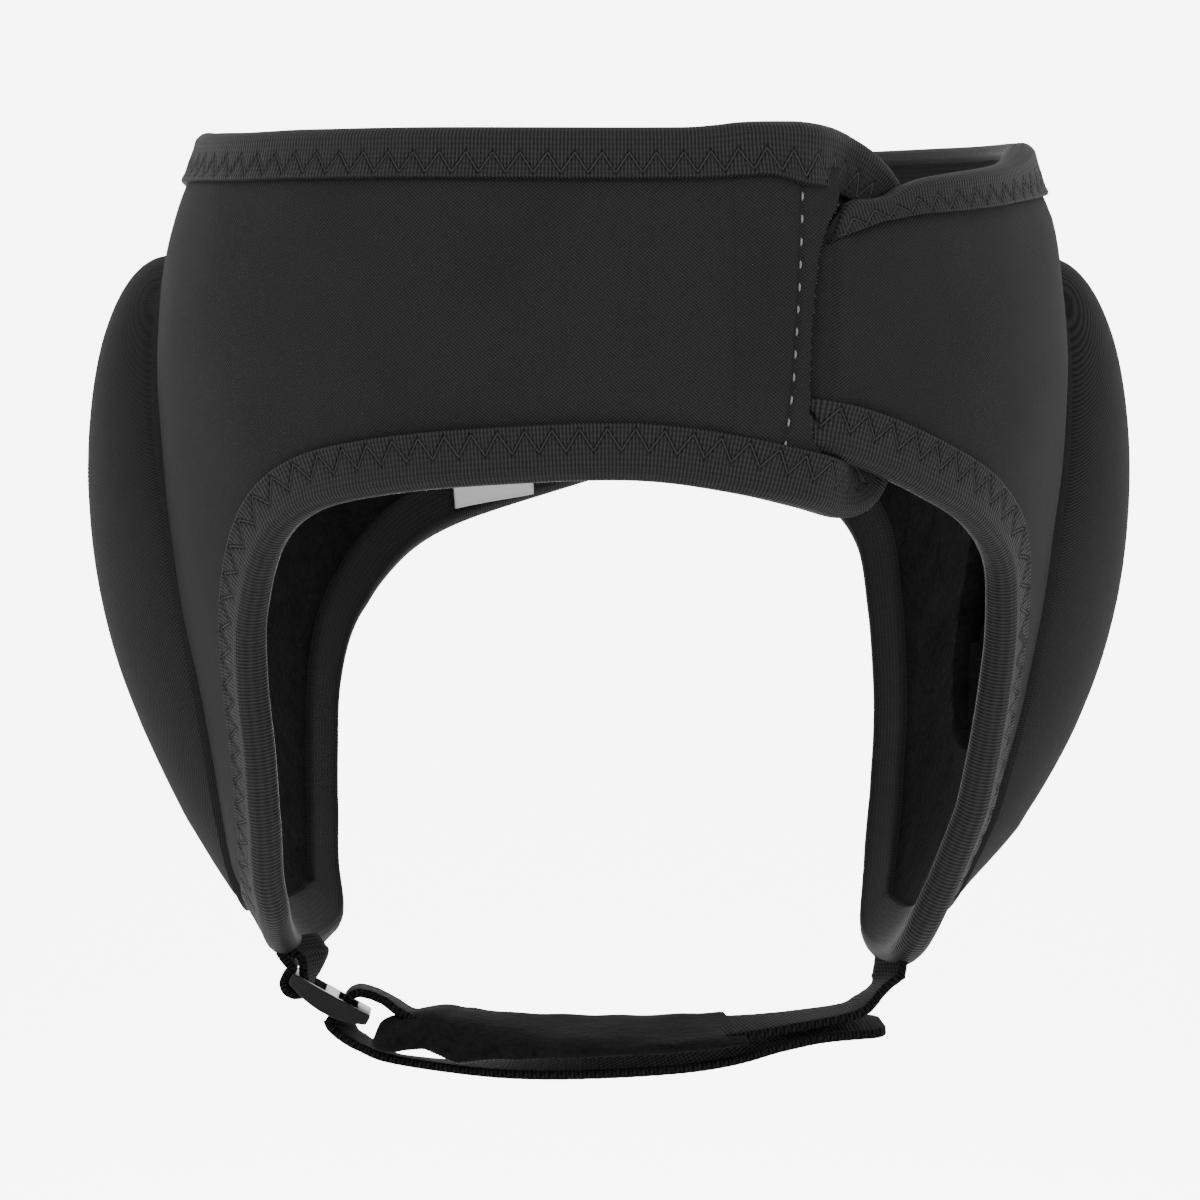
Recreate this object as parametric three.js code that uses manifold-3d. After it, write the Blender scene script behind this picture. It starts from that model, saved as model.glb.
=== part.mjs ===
// A soft ear guard for wrestling, held in the form that it has on a head.
// Millimetres. +Z is up and the face looks along -Y. The origin is the middle of the head at ear height.
import * as THREE from "three";
import { mergeVertices } from "three/addons/utils/BufferGeometryUtils.js";
import Module from "manifold-3d";

const wasm = await Module();
wasm.setup();

// The head that it is made for
const HEAD_HALF_WIDTH = 81;
const HEAD_FRONT = 93.5; // from the origin forward to the brow
const HEAD_REAR = 98; // from the origin back to the widest of the skull
const HEAD_SQUARENESS = 2.25; // 2 is an ellipse
const RIM_HEIGHT = 88; // from the origin up to the top rim at the back
const FLAP_DROP = 70; // from the origin down to the tips of the flaps
const LEAN = 2.6; // how far the flaps hang over to one side

// Cloth
const SHEET = 3.5; // neoprene
const TAB = 1.6; // the thin hooked tab at the end of the front strap
const TAPE = 0.6; // binding tape
const TAPE_WIDTH = 9; // on each face
const FIT = 0.35; // between pieces that touch
const TAPE_FIT = 0.4; // between the tape and the edge that it covers
const TAPE_STACK = TAPE + TAPE_FIT;

// Closure at the brow, in degrees from the middle of the front
const TAB_STARTS = 11;
const TAB_THIN = 18;
const FLY_STARTS = 12;
const FLY_ENDS = 20.3;
const FLY_THICKNESS = 0.9;
const LAP_STARTS = 34; // the right panel leaves the head here to lie over the tab
const LAP_ENDS = 58;
const TAB_DIP = 2.4;
const LAP_RISE = TAB + TAPE_STACK + FIT + TAPE_STACK - TAB_DIP;

// Ear pads
const PAD_HALF_HEIGHT = 60.7;
const PAD_HALF_WIDTH = 37;
const PAD_CENTRE = [24, 4.9]; // back from the origin, and up
const PAD_TILT = 0.17; // how far it leans back for each millimetre up
const PAD_HEIGHT = 17.5; // proud of the panel
const PAD_EDGE = 1.7; // its upright rim
const PAD_WALL = 8; // foam over the ear
const PAD_EGG = 0.13; // how much wider it is above its middle than below
const PAD_BROW = 0.22; // how much higher its dome is above its middle than below
const PAD_STEEP = [0.76, 0.37]; // how round its dome is at the middle, and how much rounder at the top
const CAVITY_SHARE = 0.62; // of the pad's outline
const EAR_HOLE = [20, 34]; // half sizes, along Y and Z
const VENT_RADIUS = 4.6;
const VENT_RAISED = 21; // above the middle of the pad

// Webbing, chin pad and buckle
const WEBBING = 1.6;
const WEBBING_WIDTH = 20;
const TIP_REACH = 55.8; // half the distance between the tips of the flaps
const STRAP_HANG = 19.3; // from the tips down to the lower strand
const STRAP_BACK = 6; // the strap's middle at the tips, behind the origin
const SLEEVE_WALL = 1.5;
const SLEEVE_WIDTH = 27;
const SLEEVE_ROOM = 0.35; // over and under the webbing
const SLEEVE_SLANT = 3; // how far its front edge reaches past its back edge
const BUCKLE_LENGTH = 16.6;
const BUCKLE_WIDTH = 27;
const BUCKLE_THICKNESS = 2.4;
const BUCKLE_BAR = 2.9;
const BUCKLE_SLOT = 3.95;
const BUCKLE_SLOPE = 23; // degrees down to the right
const BUCKLE_AT = [-0.952, 0.25]; // its middle, as shares of TIP_REACH and STRAP_HANG

// Care label
const LABEL_THICKNESS = 0.5;
const LABEL_HEIGHT = 24;
const LABEL_TURNS = [-161.2, -171.6];
const LABEL_FEET = [0.205, 0.249];

// Sections through the head form. Heights are shares of RIM_HEIGHT above the origin and of FLAP_DROP below it.
const HEAD = [
  { height: -1.2, side: 0.545, front: 0.56, rear: 0.46, lean: 1 },
  { height: -1.086, side: 0.593, front: 0.61, rear: 0.51, lean: 1 },
  { height: -0.914, side: 0.704, front: 0.674, rear: 0.571, lean: 1 },
  { height: -0.743, side: 0.785, front: 0.749, rear: 0.643, lean: 1 },
  { height: -0.543, side: 0.846, front: 0.824, rear: 0.724, lean: 0.46 },
  { height: -0.286, side: 0.896, front: 0.898, rear: 0.816, lean: 0.1 },
  { height: 0, side: 0.946, front: 0.952, rear: 0.898, lean: 0 },
  { height: 0.205, side: 0.979, front: 0.989, rear: 0.959, lean: 0 },
  { height: 0.4, side: 0.998, front: 1, rear: 0.99, lean: 0 },
  { height: 0.57, side: 1, front: 1, rear: 1, lean: 0 },
  { height: 0.75, side: 0.979, front: 0.995, rear: 1, lean: 0 },
  { height: 0.91, side: 0.932, front: 0.979, rear: 0.98, lean: 0 },
  { height: 1.05, side: 0.864, front: 0.941, rear: 0.939, lean: 0 },
  { height: 1.2, side: 0.78, front: 0.89, rear: 0.89, lean: 0 },
];

// Each row is one line across a panel's cut, from its lower edge to its rim, with turns in degrees from the brow.
// The left panel runs from the back seam round the left ear and over the brow to the end of its tab.
const LEFT_CUT = [
  { footTurn: -179.9, foot: 0.284, rimTurn: -179.9, rim: 1 },
  { footTurn: -161, foot: 0.17, rimTurn: -160, rim: 0.998 },
  { footTurn: -151.5, foot: 0.072, rimTurn: -149, rim: 0.995 },
  { footTurn: -144.5, foot: -0.064, rimTurn: -142, rim: 0.992 },
  { footTurn: -139.5, foot: -0.239, rimTurn: -136, rim: 0.989 },
  { footTurn: -136, foot: -0.44, rimTurn: -130, rim: 0.986 },
  { footTurn: -132.5, foot: -0.65, rimTurn: -124, rim: 0.984 },
  { footTurn: -127.5, foot: -0.845, rimTurn: -117.5, rim: 0.981 },
  { footTurn: -119.5, foot: -0.908, rimTurn: -111, rim: 0.978 },
  { footTurn: -108, foot: -0.93, rimTurn: -103.5, rim: 0.977 },
  { footTurn: -96, foot: -0.925, rimTurn: -96, rim: 0.977 },
  { footTurn: -84, foot: -0.908, rimTurn: -88, rim: 0.977 },
  { footTurn: -73.5, foot: -0.862, rimTurn: -80, rim: 0.977 },
  { footTurn: -65.5, foot: -0.79, rimTurn: -72, rim: 0.976 },
  { footTurn: -59, foot: -0.63, rimTurn: -65, rim: 0.971 },
  { footTurn: -55.5, foot: -0.43, rimTurn: -58, rim: 0.965 },
  { footTurn: -53.5, foot: -0.213, rimTurn: -51.5, rim: 0.959 },
  { footTurn: -50, foot: -0.03, rimTurn: -45.5, rim: 0.956 },
  { footTurn: -44, foot: 0.112, rimTurn: -39.5, rim: 0.954 },
  { footTurn: -36.5, foot: 0.19, rimTurn: -33, rim: 0.951 },
  { footTurn: -26, foot: 0.218, rimTurn: -24, rim: 0.948 },
  { footTurn: -12, foot: 0.231, rimTurn: -11, rim: 0.944 },
  { footTurn: 1, foot: 0.237, rimTurn: 1, rim: 0.943 },
  { footTurn: 11, foot: 0.217, rimTurn: 11, rim: 0.945 },
  { footTurn: 18, foot: 0.191, rimTurn: 18.5, rim: 0.948 },
  { footTurn: 24, foot: 0.174, rimTurn: 26, rim: 0.93 },
  { footTurn: 28.5, foot: 0.19, rimTurn: 31.5, rim: 0.873 },
  { footTurn: 30.9, foot: 0.25, rimTurn: 34.4, rim: 0.79 },
  { footTurn: 32, foot: 0.34, rimTurn: 35.6, rim: 0.69 },
];

const TIP_ROW = 10; // of the left cut, at the middle of its tip
const TAB_ROW = 23; // where the tab begins

// The right panel runs from the back seam round the right ear to its end under the fly.
const RIGHT_CUT = [
  { footTurn: 179.9, foot: 0.284, rimTurn: 179.9, rim: 1 },
  { footTurn: 161, foot: 0.272, rimTurn: 160, rim: 0.998 },
  { footTurn: 151.5, foot: 0.228, rimTurn: 150, rim: 0.995 },
  { footTurn: 146, foot: 0.14, rimTurn: 142.5, rim: 0.992 },
  { footTurn: 142.8, foot: 0.02, rimTurn: 136, rim: 0.989 },
  { footTurn: 139.2, foot: -0.18, rimTurn: 129, rim: 0.985 },
  { footTurn: 135.5, foot: -0.38, rimTurn: 122, rim: 0.98 },
  { footTurn: 131.5, foot: -0.58, rimTurn: 114.5, rim: 0.975 },
  { footTurn: 124.8, foot: -0.78, rimTurn: 107, rim: 0.97 },
  { footTurn: 118.5, foot: -0.905, rimTurn: 99.5, rim: 0.965 },
  { footTurn: 108.5, foot: -0.95, rimTurn: 92, rim: 0.959 },
  { footTurn: 96, foot: -0.953, rimTurn: 85, rim: 0.953 },
  { footTurn: 84.5, foot: -0.925, rimTurn: 78, rim: 0.947 },
  { footTurn: 75.5, foot: -0.85, rimTurn: 71.5, rim: 0.939 },
  { footTurn: 69.5, foot: -0.7, rimTurn: 65.5, rim: 0.93 },
  { footTurn: 64.6, foot: -0.5, rimTurn: 60.5, rim: 0.92 },
  { footTurn: 60.2, foot: -0.29, rimTurn: 56, rim: 0.911 },
  { footTurn: 57, foot: -0.1, rimTurn: 51, rim: 0.9 },
  { footTurn: 52.2, foot: 0.06, rimTurn: 45.5, rim: 0.887 },
  { footTurn: 44, foot: 0.155, rimTurn: 39, rim: 0.871 },
  { footTurn: 34, foot: 0.225, rimTurn: 32.5, rim: 0.852 },
  { footTurn: 26, foot: 0.276, rimTurn: 26.5, rim: 0.82 },
  { footTurn: 20.6, foot: 0.3, rimTurn: 21, rim: 0.783 },
  { footTurn: 18.5, foot: 0.303, rimTurn: 18.5, rim: 0.762 },
];

// The chin strap from the right tip through the chin pad, round the buckle's bar and back under it to its free end.
// Reach is a share of TIP_REACH, and hang a share of STRAP_HANG below the tips. Ahead is in millimetres towards the face, tilt in degrees.
const STRAP_ROUTE = [
  { reach: 0.945, hang: 0.06, ahead: 0, tilt: 0 },
  { reach: 0.915, hang: 0.175, ahead: 0.3, tilt: 0 },
  { reach: 0.869, hang: 0.297, ahead: 0.6, tilt: 1 },
  { reach: 0.8, hang: 0.412, ahead: 1.5, tilt: 3 },
  { reach: 0.64, hang: 0.491, ahead: 3, tilt: 6 },
  { reach: 0.42, hang: 0.565, ahead: 5, tilt: 9 },
  { reach: 0.2, hang: 0.607, ahead: 6.5, tilt: 10 },
  { reach: -0.04, hang: 0.63, ahead: 7, tilt: 10 },
  { reach: -0.28, hang: 0.607, ahead: 6.5, tilt: 9 },
  { reach: -0.48, hang: 0.56, ahead: 5, tilt: 7 },
  { reach: -0.6, hang: 0.491, ahead: 3.5, tilt: 4 },
  { reach: -0.69, hang: 0.409, ahead: 2.5, tilt: 1 },
  { reach: -0.755, hang: 0.303, ahead: 1.5, tilt: 0 },
  { reach: -0.81, hang: 0.229, ahead: 1, tilt: 0 },
  { reach: -0.855, hang: 0.201, ahead: 1, tilt: 0 },
  { reach: -0.885, hang: 0.243, ahead: 1, tilt: 0 },
  { reach: -0.9, hang: 0.335, ahead: 1, tilt: 0 },
  { reach: -0.915, hang: 0.428, ahead: 1, tilt: -1 },
  { reach: -0.92, hang: 0.52, ahead: 1, tilt: -2 },
  { reach: -0.89, hang: 0.63, ahead: 1.5, tilt: -3 },
  { reach: -0.815, hang: 0.769, ahead: 2, tilt: -4 },
  { reach: -0.72, hang: 0.866, ahead: 3, tilt: -3 },
  { reach: -0.5, hang: 0.935, ahead: 5, tilt: 0 },
  { reach: -0.26, hang: 0.926, ahead: 6.5, tilt: 7 },
  { reach: 0, hang: 0.889, ahead: 7, tilt: 10 },
  { reach: 0.24, hang: 0.843, ahead: 6.5, tilt: 10 },
  { reach: 0.42, hang: 0.769, ahead: 5, tilt: 10 },
  { reach: 0.56, hang: 0.676, ahead: 4, tilt: 9 },
  { reach: 0.7, hang: 0.602, ahead: 3, tilt: 8 },
  { reach: 0.92, hang: 0.547, ahead: 2.5, tilt: 8 },
];
const SLEEVE_SPAN = [5, 10.4]; // the rows of the route that the chin pad covers

const FABRIC = { color: 0x2f3032, roughness: 0.85, metalness: 0 };
const TAPE_CLOTH = { color: 0x262729, roughness: 0.8, metalness: 0 };
const LINING = { color: 0x1f2022, roughness: 0.95, metalness: 0 };
const WEB_CLOTH = { color: 0x1c1d1f, roughness: 0.75, metalness: 0 };
const PLASTIC = { color: 0x17181a, roughness: 0.3, metalness: 0 };
const PAPER_CLOTH = { color: 0xd6d6d4, roughness: 0.7, metalness: 0 };

const rad = THREE.MathUtils.degToRad;
const ease = THREE.MathUtils.smoothstep;

// A smooth curve through one column of a table, at a place counted in rows
function column(table, key, place) {
  const last = table.length - 1;
  const i = Math.min(Math.max(Math.floor(place), 0), last - 1);
  const t = place - i;
  const at = (j) => table[Math.min(Math.max(j, 0), last)][key];
  const tangent = (j) => (at(j + 1) - at(j - 1)) / (j <= 0 || j >= last ? 1 : 2);
  const [a, b] = [at(i), at(i + 1)];
  const [ta, tb] = [tangent(i), tangent(i + 1)];
  return a + t * ta + t * t * (3 * (b - a) - 2 * ta - tb) + t * t * t * (2 * (a - b) + ta + tb);
}

const raised = (share) => share * (share > 0 ? RIM_HEIGHT : FLAP_DROP);

// The place in the head's table of a height in millimetres
function headPlace(z) {
  const share = z / (z > 0 ? RIM_HEIGHT : FLAP_DROP);
  let i = 0;
  while (i < HEAD.length - 2 && HEAD[i + 1].height < share) i++;
  return i + (share - HEAD[i].height) / (HEAD[i + 1].height - HEAD[i].height);
}

function headRadius(turn, z) {
  const place = headPlace(z);
  const [s, c] = [Math.sin(rad(turn)), Math.cos(rad(turn))];
  const half = HEAD_HALF_WIDTH * column(HEAD, "side", place);
  const deep = c > 0 ? HEAD_FRONT * column(HEAD, "front", place) : HEAD_REAR * column(HEAD, "rear", place);
  const sum = Math.abs(s / half) ** HEAD_SQUARENESS + Math.abs(c / deep) ** HEAD_SQUARENESS;
  return sum ** (-1 / HEAD_SQUARENESS);
}

function onHead(turn, z) {
  const r = headRadius(turn, z);
  const lean = LEAN * column(HEAD, "lean", headPlace(z));
  return new THREE.Vector3(r * Math.sin(rad(turn)) - lean, -r * Math.cos(rad(turn)), z);
}

// A point that stands off the head's surface by lift
function offHead(turn, z, lift) {
  const around = onHead(turn + 0.5, z).sub(onHead(turn - 0.5, z));
  const up = onHead(turn, z + 0.5).sub(onHead(turn, z - 0.5));
  return onHead(turn, z).addScaledVector(around.cross(up).normalize(), lift);
}

// A closed body through rings of points. Open rows of rings end in caps between each ring's two mirrored halves.
function ringBody(rings, closed) {
  const count = rings[0].length;
  const points = rings.flat();
  const faces = [];
  const quad = (a, b, c, d) => faces.push(a, b, c, a, c, d);
  const spans = closed ? rings.length : rings.length - 1;
  for (let i = 0; i < spans; i++) {
    const [here, next] = [i * count, ((i + 1) % rings.length) * count];
    for (let j = 0; j < count; j++) {
      const k = (j + 1) % count;
      quad(here + j, here + k, next + k, next + j);
    }
  }
  const end = (rings.length - 1) * count;
  for (let j = 0; !closed && j < count / 2 - 1; j++) {
    const [a, b] = [j + 1, count - 2 - j];
    quad(j, count - 1 - j, b, a);
    quad(end + j, end + a, end + b, end + count - 1 - j);
  }
  const geometry = new THREE.BufferGeometry().setFromPoints(points);
  geometry.setIndex(faces);
  if (enclosed(points, faces) < 0) geometry.setIndex(faces.reverse());
  return geometry;
}

function enclosed(points, faces) {
  let sum = 0;
  const normal = new THREE.Vector3();
  for (let i = 0; i < faces.length; i += 3)
    sum += points[faces[i]].dot(normal.crossVectors(points[faces[i + 1]], points[faces[i + 2]]));
  return sum / 6;
}

function asManifold(geometry) {
  const bare = geometry.clone();
  for (const name of ["normal", "uv"]) bare.deleteAttribute(name);
  const merged = mergeVertices(bare, 1e-4);
  const vertProperties = merged.getAttribute("position").array;
  const triVerts = new Uint32Array(merged.getIndex().array);
  return new wasm.Manifold(new wasm.Mesh({ numProp: 3, vertProperties, triVerts }));
}

function asGeometry(manifold) {
  const { vertProperties, triVerts } = manifold.getMesh();
  const geometry = new THREE.BufferGeometry();
  geometry.setAttribute("position", new THREE.BufferAttribute(vertProperties, 3));
  return geometry.setIndex(new THREE.BufferAttribute(triVerts, 1));
}

const guard = new THREE.Group();

function piece(name, geometry, look) {
  const mesh = new THREE.Mesh(geometry, new THREE.MeshStandardMaterial(look));
  mesh.name = name;
  guard.add(mesh);
  return mesh;
}

// How far a panel's inner face stands off the head, and how thick it is there
const leftSheet = (turn) => {
  const tab = ease(turn, TAB_STARTS, TAB_THIN);
  return { lift: -TAB_DIP * tab, thick: SHEET + (TAB - SHEET) * tab };
};
const rightSheet = (turn) => ({
  lift: turn > 0 ? LAP_RISE * (1 - ease(turn, LAP_STARTS, LAP_ENDS)) : 0,
  thick: SHEET,
});

// The lines across a panel, with split lines for each row of its cut
function linesAcross(cut, split) {
  const lines = [];
  for (let i = 0; i <= (cut.length - 1) * split; i++) {
    const place = i / split;
    lines.push({
      foot: { turn: column(cut, "footTurn", place), z: raised(column(cut, "foot", place)) },
      rim: { turn: column(cut, "rimTurn", place), z: raised(column(cut, "rim", place)) },
    });
  }
  return lines;
}

const CUT_SPLIT = 2;
const ROWS_ACROSS = 10;
const CROWD = 0.055; // brings the rows closer together near both edges, where the form curls in

function panel(name, cut, sheet) {
  const rings = linesAcross(cut, CUT_SPLIT).map(({ foot, rim }) => {
    const [inner, outer] = [[], []];
    for (let j = 0; j <= ROWS_ACROSS; j++) {
      const share = j / ROWS_ACROSS - CROWD * Math.sin((2 * Math.PI * j) / ROWS_ACROSS);
      const turn = THREE.MathUtils.lerp(foot.turn, rim.turn, share);
      const z = THREE.MathUtils.lerp(foot.z, rim.z, share);
      const { lift, thick } = sheet(turn);
      inner.push(offHead(turn, z, lift));
      outer.push(offHead(turn, z, lift + thick));
    }
    return [...inner, ...outer.reverse()];
  });
  const solid = asManifold(ringBody(rings, false)).subtract(asManifold(earHole()));
  return piece(name, asGeometry(solid), FABRIC);
}

// A prism along X through both ears
function earHole() {
  const outline = new THREE.Shape().absellipse(0, 0, EAR_HOLE[0], EAR_HOLE[1], 0, 2 * Math.PI);
  const geometry = new THREE.ExtrudeGeometry(outline, {
    depth: 4 * HEAD_HALF_WIDTH,
    bevelEnabled: false,
    curveSegments: 28,
  });
  geometry.translate(0, 0, -2 * HEAD_HALF_WIDTH);
  geometry.rotateX(Math.PI / 2);
  geometry.rotateZ(Math.PI / 2);
  geometry.rotateX(-Math.atan(PAD_TILT));
  geometry.translate(0, PAD_CENTRE[0], PAD_CENTRE[1]);
  return geometry;
}

// Binding tape folded over an edge. The edge is a row of points in turns and heights, and inside is the side that
// the panel lies on, 1 or -1.
function binding(name, edge, sheet, inside) {
  const rings = edge.map((at, i) => {
    const [before, after] = [edge[Math.max(i - 1, 0)], edge[Math.min(i + 1, edge.length - 1)]];
    const perDegree = rad(1) * headRadius(at.turn, at.z);
    const along = new THREE.Vector2((after.turn - before.turn) * perDegree, after.z - before.z).normalize();
    const inward = new THREE.Vector2(-along.y * inside, along.x * inside);
    const { lift, thick } = sheet(at.turn);
    const place = (depth, off) =>
      offHead(at.turn + (inward.x * depth) / perDegree, at.z + inward.y * depth, lift + off);
    const [low, high] = [-TAPE_STACK, thick + TAPE_STACK];
    const outer = [
      place(TAPE_WIDTH, high),
      place(-TAPE_STACK, high),
      place(-TAPE_STACK, low),
      place(TAPE_WIDTH, low),
    ];
    const inner = [
      place(TAPE_WIDTH, low + TAPE),
      place(-TAPE_FIT, low + TAPE),
      place(-TAPE_FIT, high - TAPE),
      place(TAPE_WIDTH, high - TAPE),
    ];
    return [...outer, ...inner];
  });
  return piece(name, ringBody(rings, false), TAPE_CLOTH);
}

// The tab's end, from its rim down to its foot
function tabEnd(lines) {
  const { foot, rim } = lines[lines.length - 1];
  return [1, 2, 3].map((k) => ({
    turn: THREE.MathUtils.lerp(rim.turn, foot.turn, k / 4),
    z: THREE.MathUtils.lerp(rim.z, foot.z, k / 4),
  }));
}

function bindings() {
  const left = linesAcross(LEFT_CUT, CUT_SPLIT);
  const feet = left.map((line) => line.foot).reverse();
  const leftEdge = [...left.map((line) => line.rim), ...tabEnd(left), ...feet];
  binding("left_edge_binding", leftEdge, leftSheet, -1);
  const right = linesAcross(RIGHT_CUT, CUT_SPLIT);
  const clear = (at) => at.turn > FLY_ENDS + 0.2;
  binding("right_rim_binding", right.map((line) => line.rim).filter(clear), rightSheet, 1);
  binding("right_lower_binding", right.map((line) => line.foot).filter(clear), rightSheet, -1);
}

// The outer cloth of the front strap, which runs on past its seam and covers the end of the right panel
function closureFly() {
  const steps = 4;
  const rings = [];
  for (let i = 0; i <= steps; i++) {
    const turn = THREE.MathUtils.lerp(FLY_STARTS, FLY_ENDS, i / steps);
    const over = ease(turn, FLY_STARTS, TAB_THIN);
    const low = SHEET + FIT + LAP_RISE * over;
    const foot = raised(column(LEFT_CUT, "foot", TAB_ROW)) + TAPE_WIDTH + FIT;
    const top = raised(column(LEFT_CUT, "rim", TAB_ROW)) - TAPE_WIDTH - FIT - 2.5 * over;
    const [inner, outer] = [[], []];
    for (let j = 0; j <= 6; j++) {
      const z = THREE.MathUtils.lerp(foot, top, j / 6);
      inner.push(offHead(turn, z, low));
      outer.push(offHead(turn, z, low + FLY_THICKNESS));
    }
    rings.push([...inner, ...outer.reverse()]);
  }
  return piece("closure_fly", ringBody(rings, false), FABRIC);
}

// Height of an ear pad over its panel, at a place given in millimetres from its middle
function padRise(back, up) {
  const width = PAD_HALF_WIDTH * (1 + (PAD_EGG * up) / PAD_HALF_HEIGHT);
  const share = Math.min(Math.hypot(back / width, up / PAD_HALF_HEIGHT), 1);
  const high = Math.min(up / PAD_HALF_HEIGHT, 1);
  const steep = PAD_STEEP[0] - PAD_STEEP[1] * high;
  return (1 - share * share) ** steep * (1 + PAD_BROW * high);
}

// side is 1 for the wearer's left ear, on the right of the front view, and -1 for the other
function earPad(name, side) {
  const around = 26;
  const middleTurn = side * (90 + THREE.MathUtils.radToDeg(Math.atan2(PAD_CENTRE[0], HEAD_HALF_WIDTH)));
  const place = (back, up, off) => {
    const z = PAD_CENTRE[1] + up;
    const turn = middleTurn + (side * (back + PAD_TILT * up)) / (rad(1) * headRadius(middleTurn, z));
    return offHead(turn, z, SHEET + FIT + off);
  };
  const rings = [];
  for (let i = 0; i < around; i++) {
    const angle = (2 * Math.PI * i) / around;
    const rim = [PAD_HALF_WIDTH * Math.cos(angle) * (1 + PAD_EGG * Math.sin(angle)), PAD_HALF_HEIGHT * Math.sin(angle)];
    const vent = [VENT_RADIUS * Math.cos(angle), VENT_RAISED + VENT_RADIUS * Math.sin(angle)];
    const spot = (far, share) => [0, 1].map((k) => THREE.MathUtils.lerp(vent[k], far[k], share));
    const outer = [0, 0.2, 0.42, 0.62, 0.78, 0.89, 0.96, 1].map((share) => {
      const [back, up] = spot(rim, share);
      return place(back, up, PAD_EDGE + (PAD_HEIGHT - PAD_EDGE) * padRise(back, up));
    });
    const mouth = rim.map((x) => x * CAVITY_SHARE);
    const base = [1, 0.9, 0.8, 0.7, CAVITY_SHARE].map((share) => place(rim[0] * share, rim[1] * share, 0));
    const cavity = [0.85, 0.6, 0.3, 0].map((share) => {
      const [back, up] = spot(mouth, share);
      return place(back, up, (PAD_HEIGHT - PAD_WALL) * padRise(back / CAVITY_SHARE, up / CAVITY_SHARE) + PAD_EDGE);
    });
    rings.push([...outer, ...base, ...cavity]);
  }
  return piece(name, ringBody(rings, true), FABRIC);
}

// The strap's route as points, with the direction across the webbing at each
function routeAt(place) {
  const tilt = rad(column(STRAP_ROUTE, "tilt", place));
  const spot = (at) =>
    new THREE.Vector3(
      TIP_REACH * column(STRAP_ROUTE, "reach", at),
      STRAP_BACK - column(STRAP_ROUTE, "ahead", at),
      -FLAP_DROP - STRAP_HANG * column(STRAP_ROUTE, "hang", at),
    );
  const step = 0.02;
  const ahead = Math.min(place + step, STRAP_ROUTE.length - 1);
  const along = spot(ahead).sub(spot(Math.max(place - step, 0))).normalize();
  const across = new THREE.Vector3(0, Math.cos(tilt), Math.sin(tilt));
  const face = along.clone().cross(across).normalize();
  return { at: spot(place), across: face.clone().cross(along), face };
}

// Webbing through a row of frames, each with its middle, its direction across and its face
function webbing(name, frames) {
  const rings = frames.map(({ at, across, face }) => {
    const corner = (w, t) =>
      at.clone().addScaledVector(across, (w * WEBBING_WIDTH) / 2).addScaledVector(face, (t * WEBBING) / 2);
    return [corner(-1, -1), corner(1, -1), corner(1, 1), corner(-1, 1)];
  });
  return piece(name, ringBody(rings, false), WEB_CLOTH);
}

function chinStrap() {
  const frames = [];
  for (let i = 0; i <= (STRAP_ROUTE.length - 1) * 2; i++) frames.push(routeAt(i / 2));
  return webbing("chin_strap", frames);
}

// A flat sleeve of padded cloth round the upper strand
function chinPad() {
  const around = 12;
  const steps = 8;
  const oval = (angle, half, deep) => {
    const [c, s] = [Math.cos(angle), Math.sin(angle)];
    return [half * Math.sign(c) * Math.abs(c) ** 0.35, deep * Math.sign(s) * Math.abs(s) ** 0.6];
  };
  const rings = [];
  for (let k = 0; k < around; k++) {
    const angle = (2 * Math.PI * (k + 0.5)) / around;
    const slant = (SLEEVE_SLANT / TIP_REACH) * Math.cos(angle);
    const wall = (half, deep, share) => {
      const [w, t] = oval(angle, half, deep);
      const place = THREE.MathUtils.lerp(SLEEVE_SPAN[0], SLEEVE_SPAN[1] - 4 * slant, share);
      const { at, across, face } = routeAt(place);
      return at.addScaledVector(across, w).addScaledVector(face, t);
    };
    const deep = WEBBING / 2 + SLEEVE_ROOM;
    const half = WEBBING_WIDTH / 2 + 2 * SLEEVE_ROOM;
    const [outer, inner] = [[], []];
    for (let i = 0; i <= steps; i++) {
      outer.push(wall(SLEEVE_WIDTH / 2, deep + SLEEVE_WALL, i / steps));
      inner.push(wall(half, deep + 0.25, i / steps));
    }
    rings.push([...outer, ...inner.reverse()]);
  }
  return piece("chin_pad", ringBody(rings, true), LINING);
}

function roundedRect(path, x, y, width, height, radius) {
  const [a, b] = [x + width / 2 - radius, y + height / 2 - radius];
  const [c, d] = [x - width / 2 + radius, y - height / 2 + radius];
  path.absarc(a, b, radius, 0, Math.PI / 2);
  path.absarc(c, b, radius, Math.PI / 2, Math.PI);
  path.absarc(c, d, radius, Math.PI, 1.5 * Math.PI);
  path.absarc(a, d, radius, 1.5 * Math.PI, 2 * Math.PI);
  path.closePath();
  return path;
}

const buckleMiddle = new THREE.Vector3(
  TIP_REACH * BUCKLE_AT[0],
  STRAP_BACK - 1,
  -FLAP_DROP - STRAP_HANG * BUCKLE_AT[1],
);

// A plate with two slots, which lies across the route with its long side along Y
function buckle() {
  const outline = roundedRect(new THREE.Shape(), 0, 0, BUCKLE_LENGTH, BUCKLE_WIDTH, 2);
  const offset = (BUCKLE_BAR + BUCKLE_SLOT) / 2;
  for (const x of [-offset, offset])
    outline.holes.push(roundedRect(new THREE.Path(), x, 0, BUCKLE_SLOT, WEBBING_WIDTH + 1.6, 0.8));
  const bevel = 0.5;
  const geometry = new THREE.ExtrudeGeometry(outline, {
    depth: BUCKLE_THICKNESS - 2 * bevel,
    bevelThickness: bevel,
    bevelSize: bevel,
    bevelOffset: -bevel,
    bevelSegments: 1,
    curveSegments: 2,
  });
  geometry.translate(0, 0, bevel - BUCKLE_THICKNESS / 2);
  const mesh = piece("tri_glide_buckle", asGeometry(asManifold(geometry)), PLASTIC);
  mesh.position.copy(buckleMiddle);
  mesh.rotation.y = rad(BUCKLE_SLOPE);
  return mesh;
}

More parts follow.
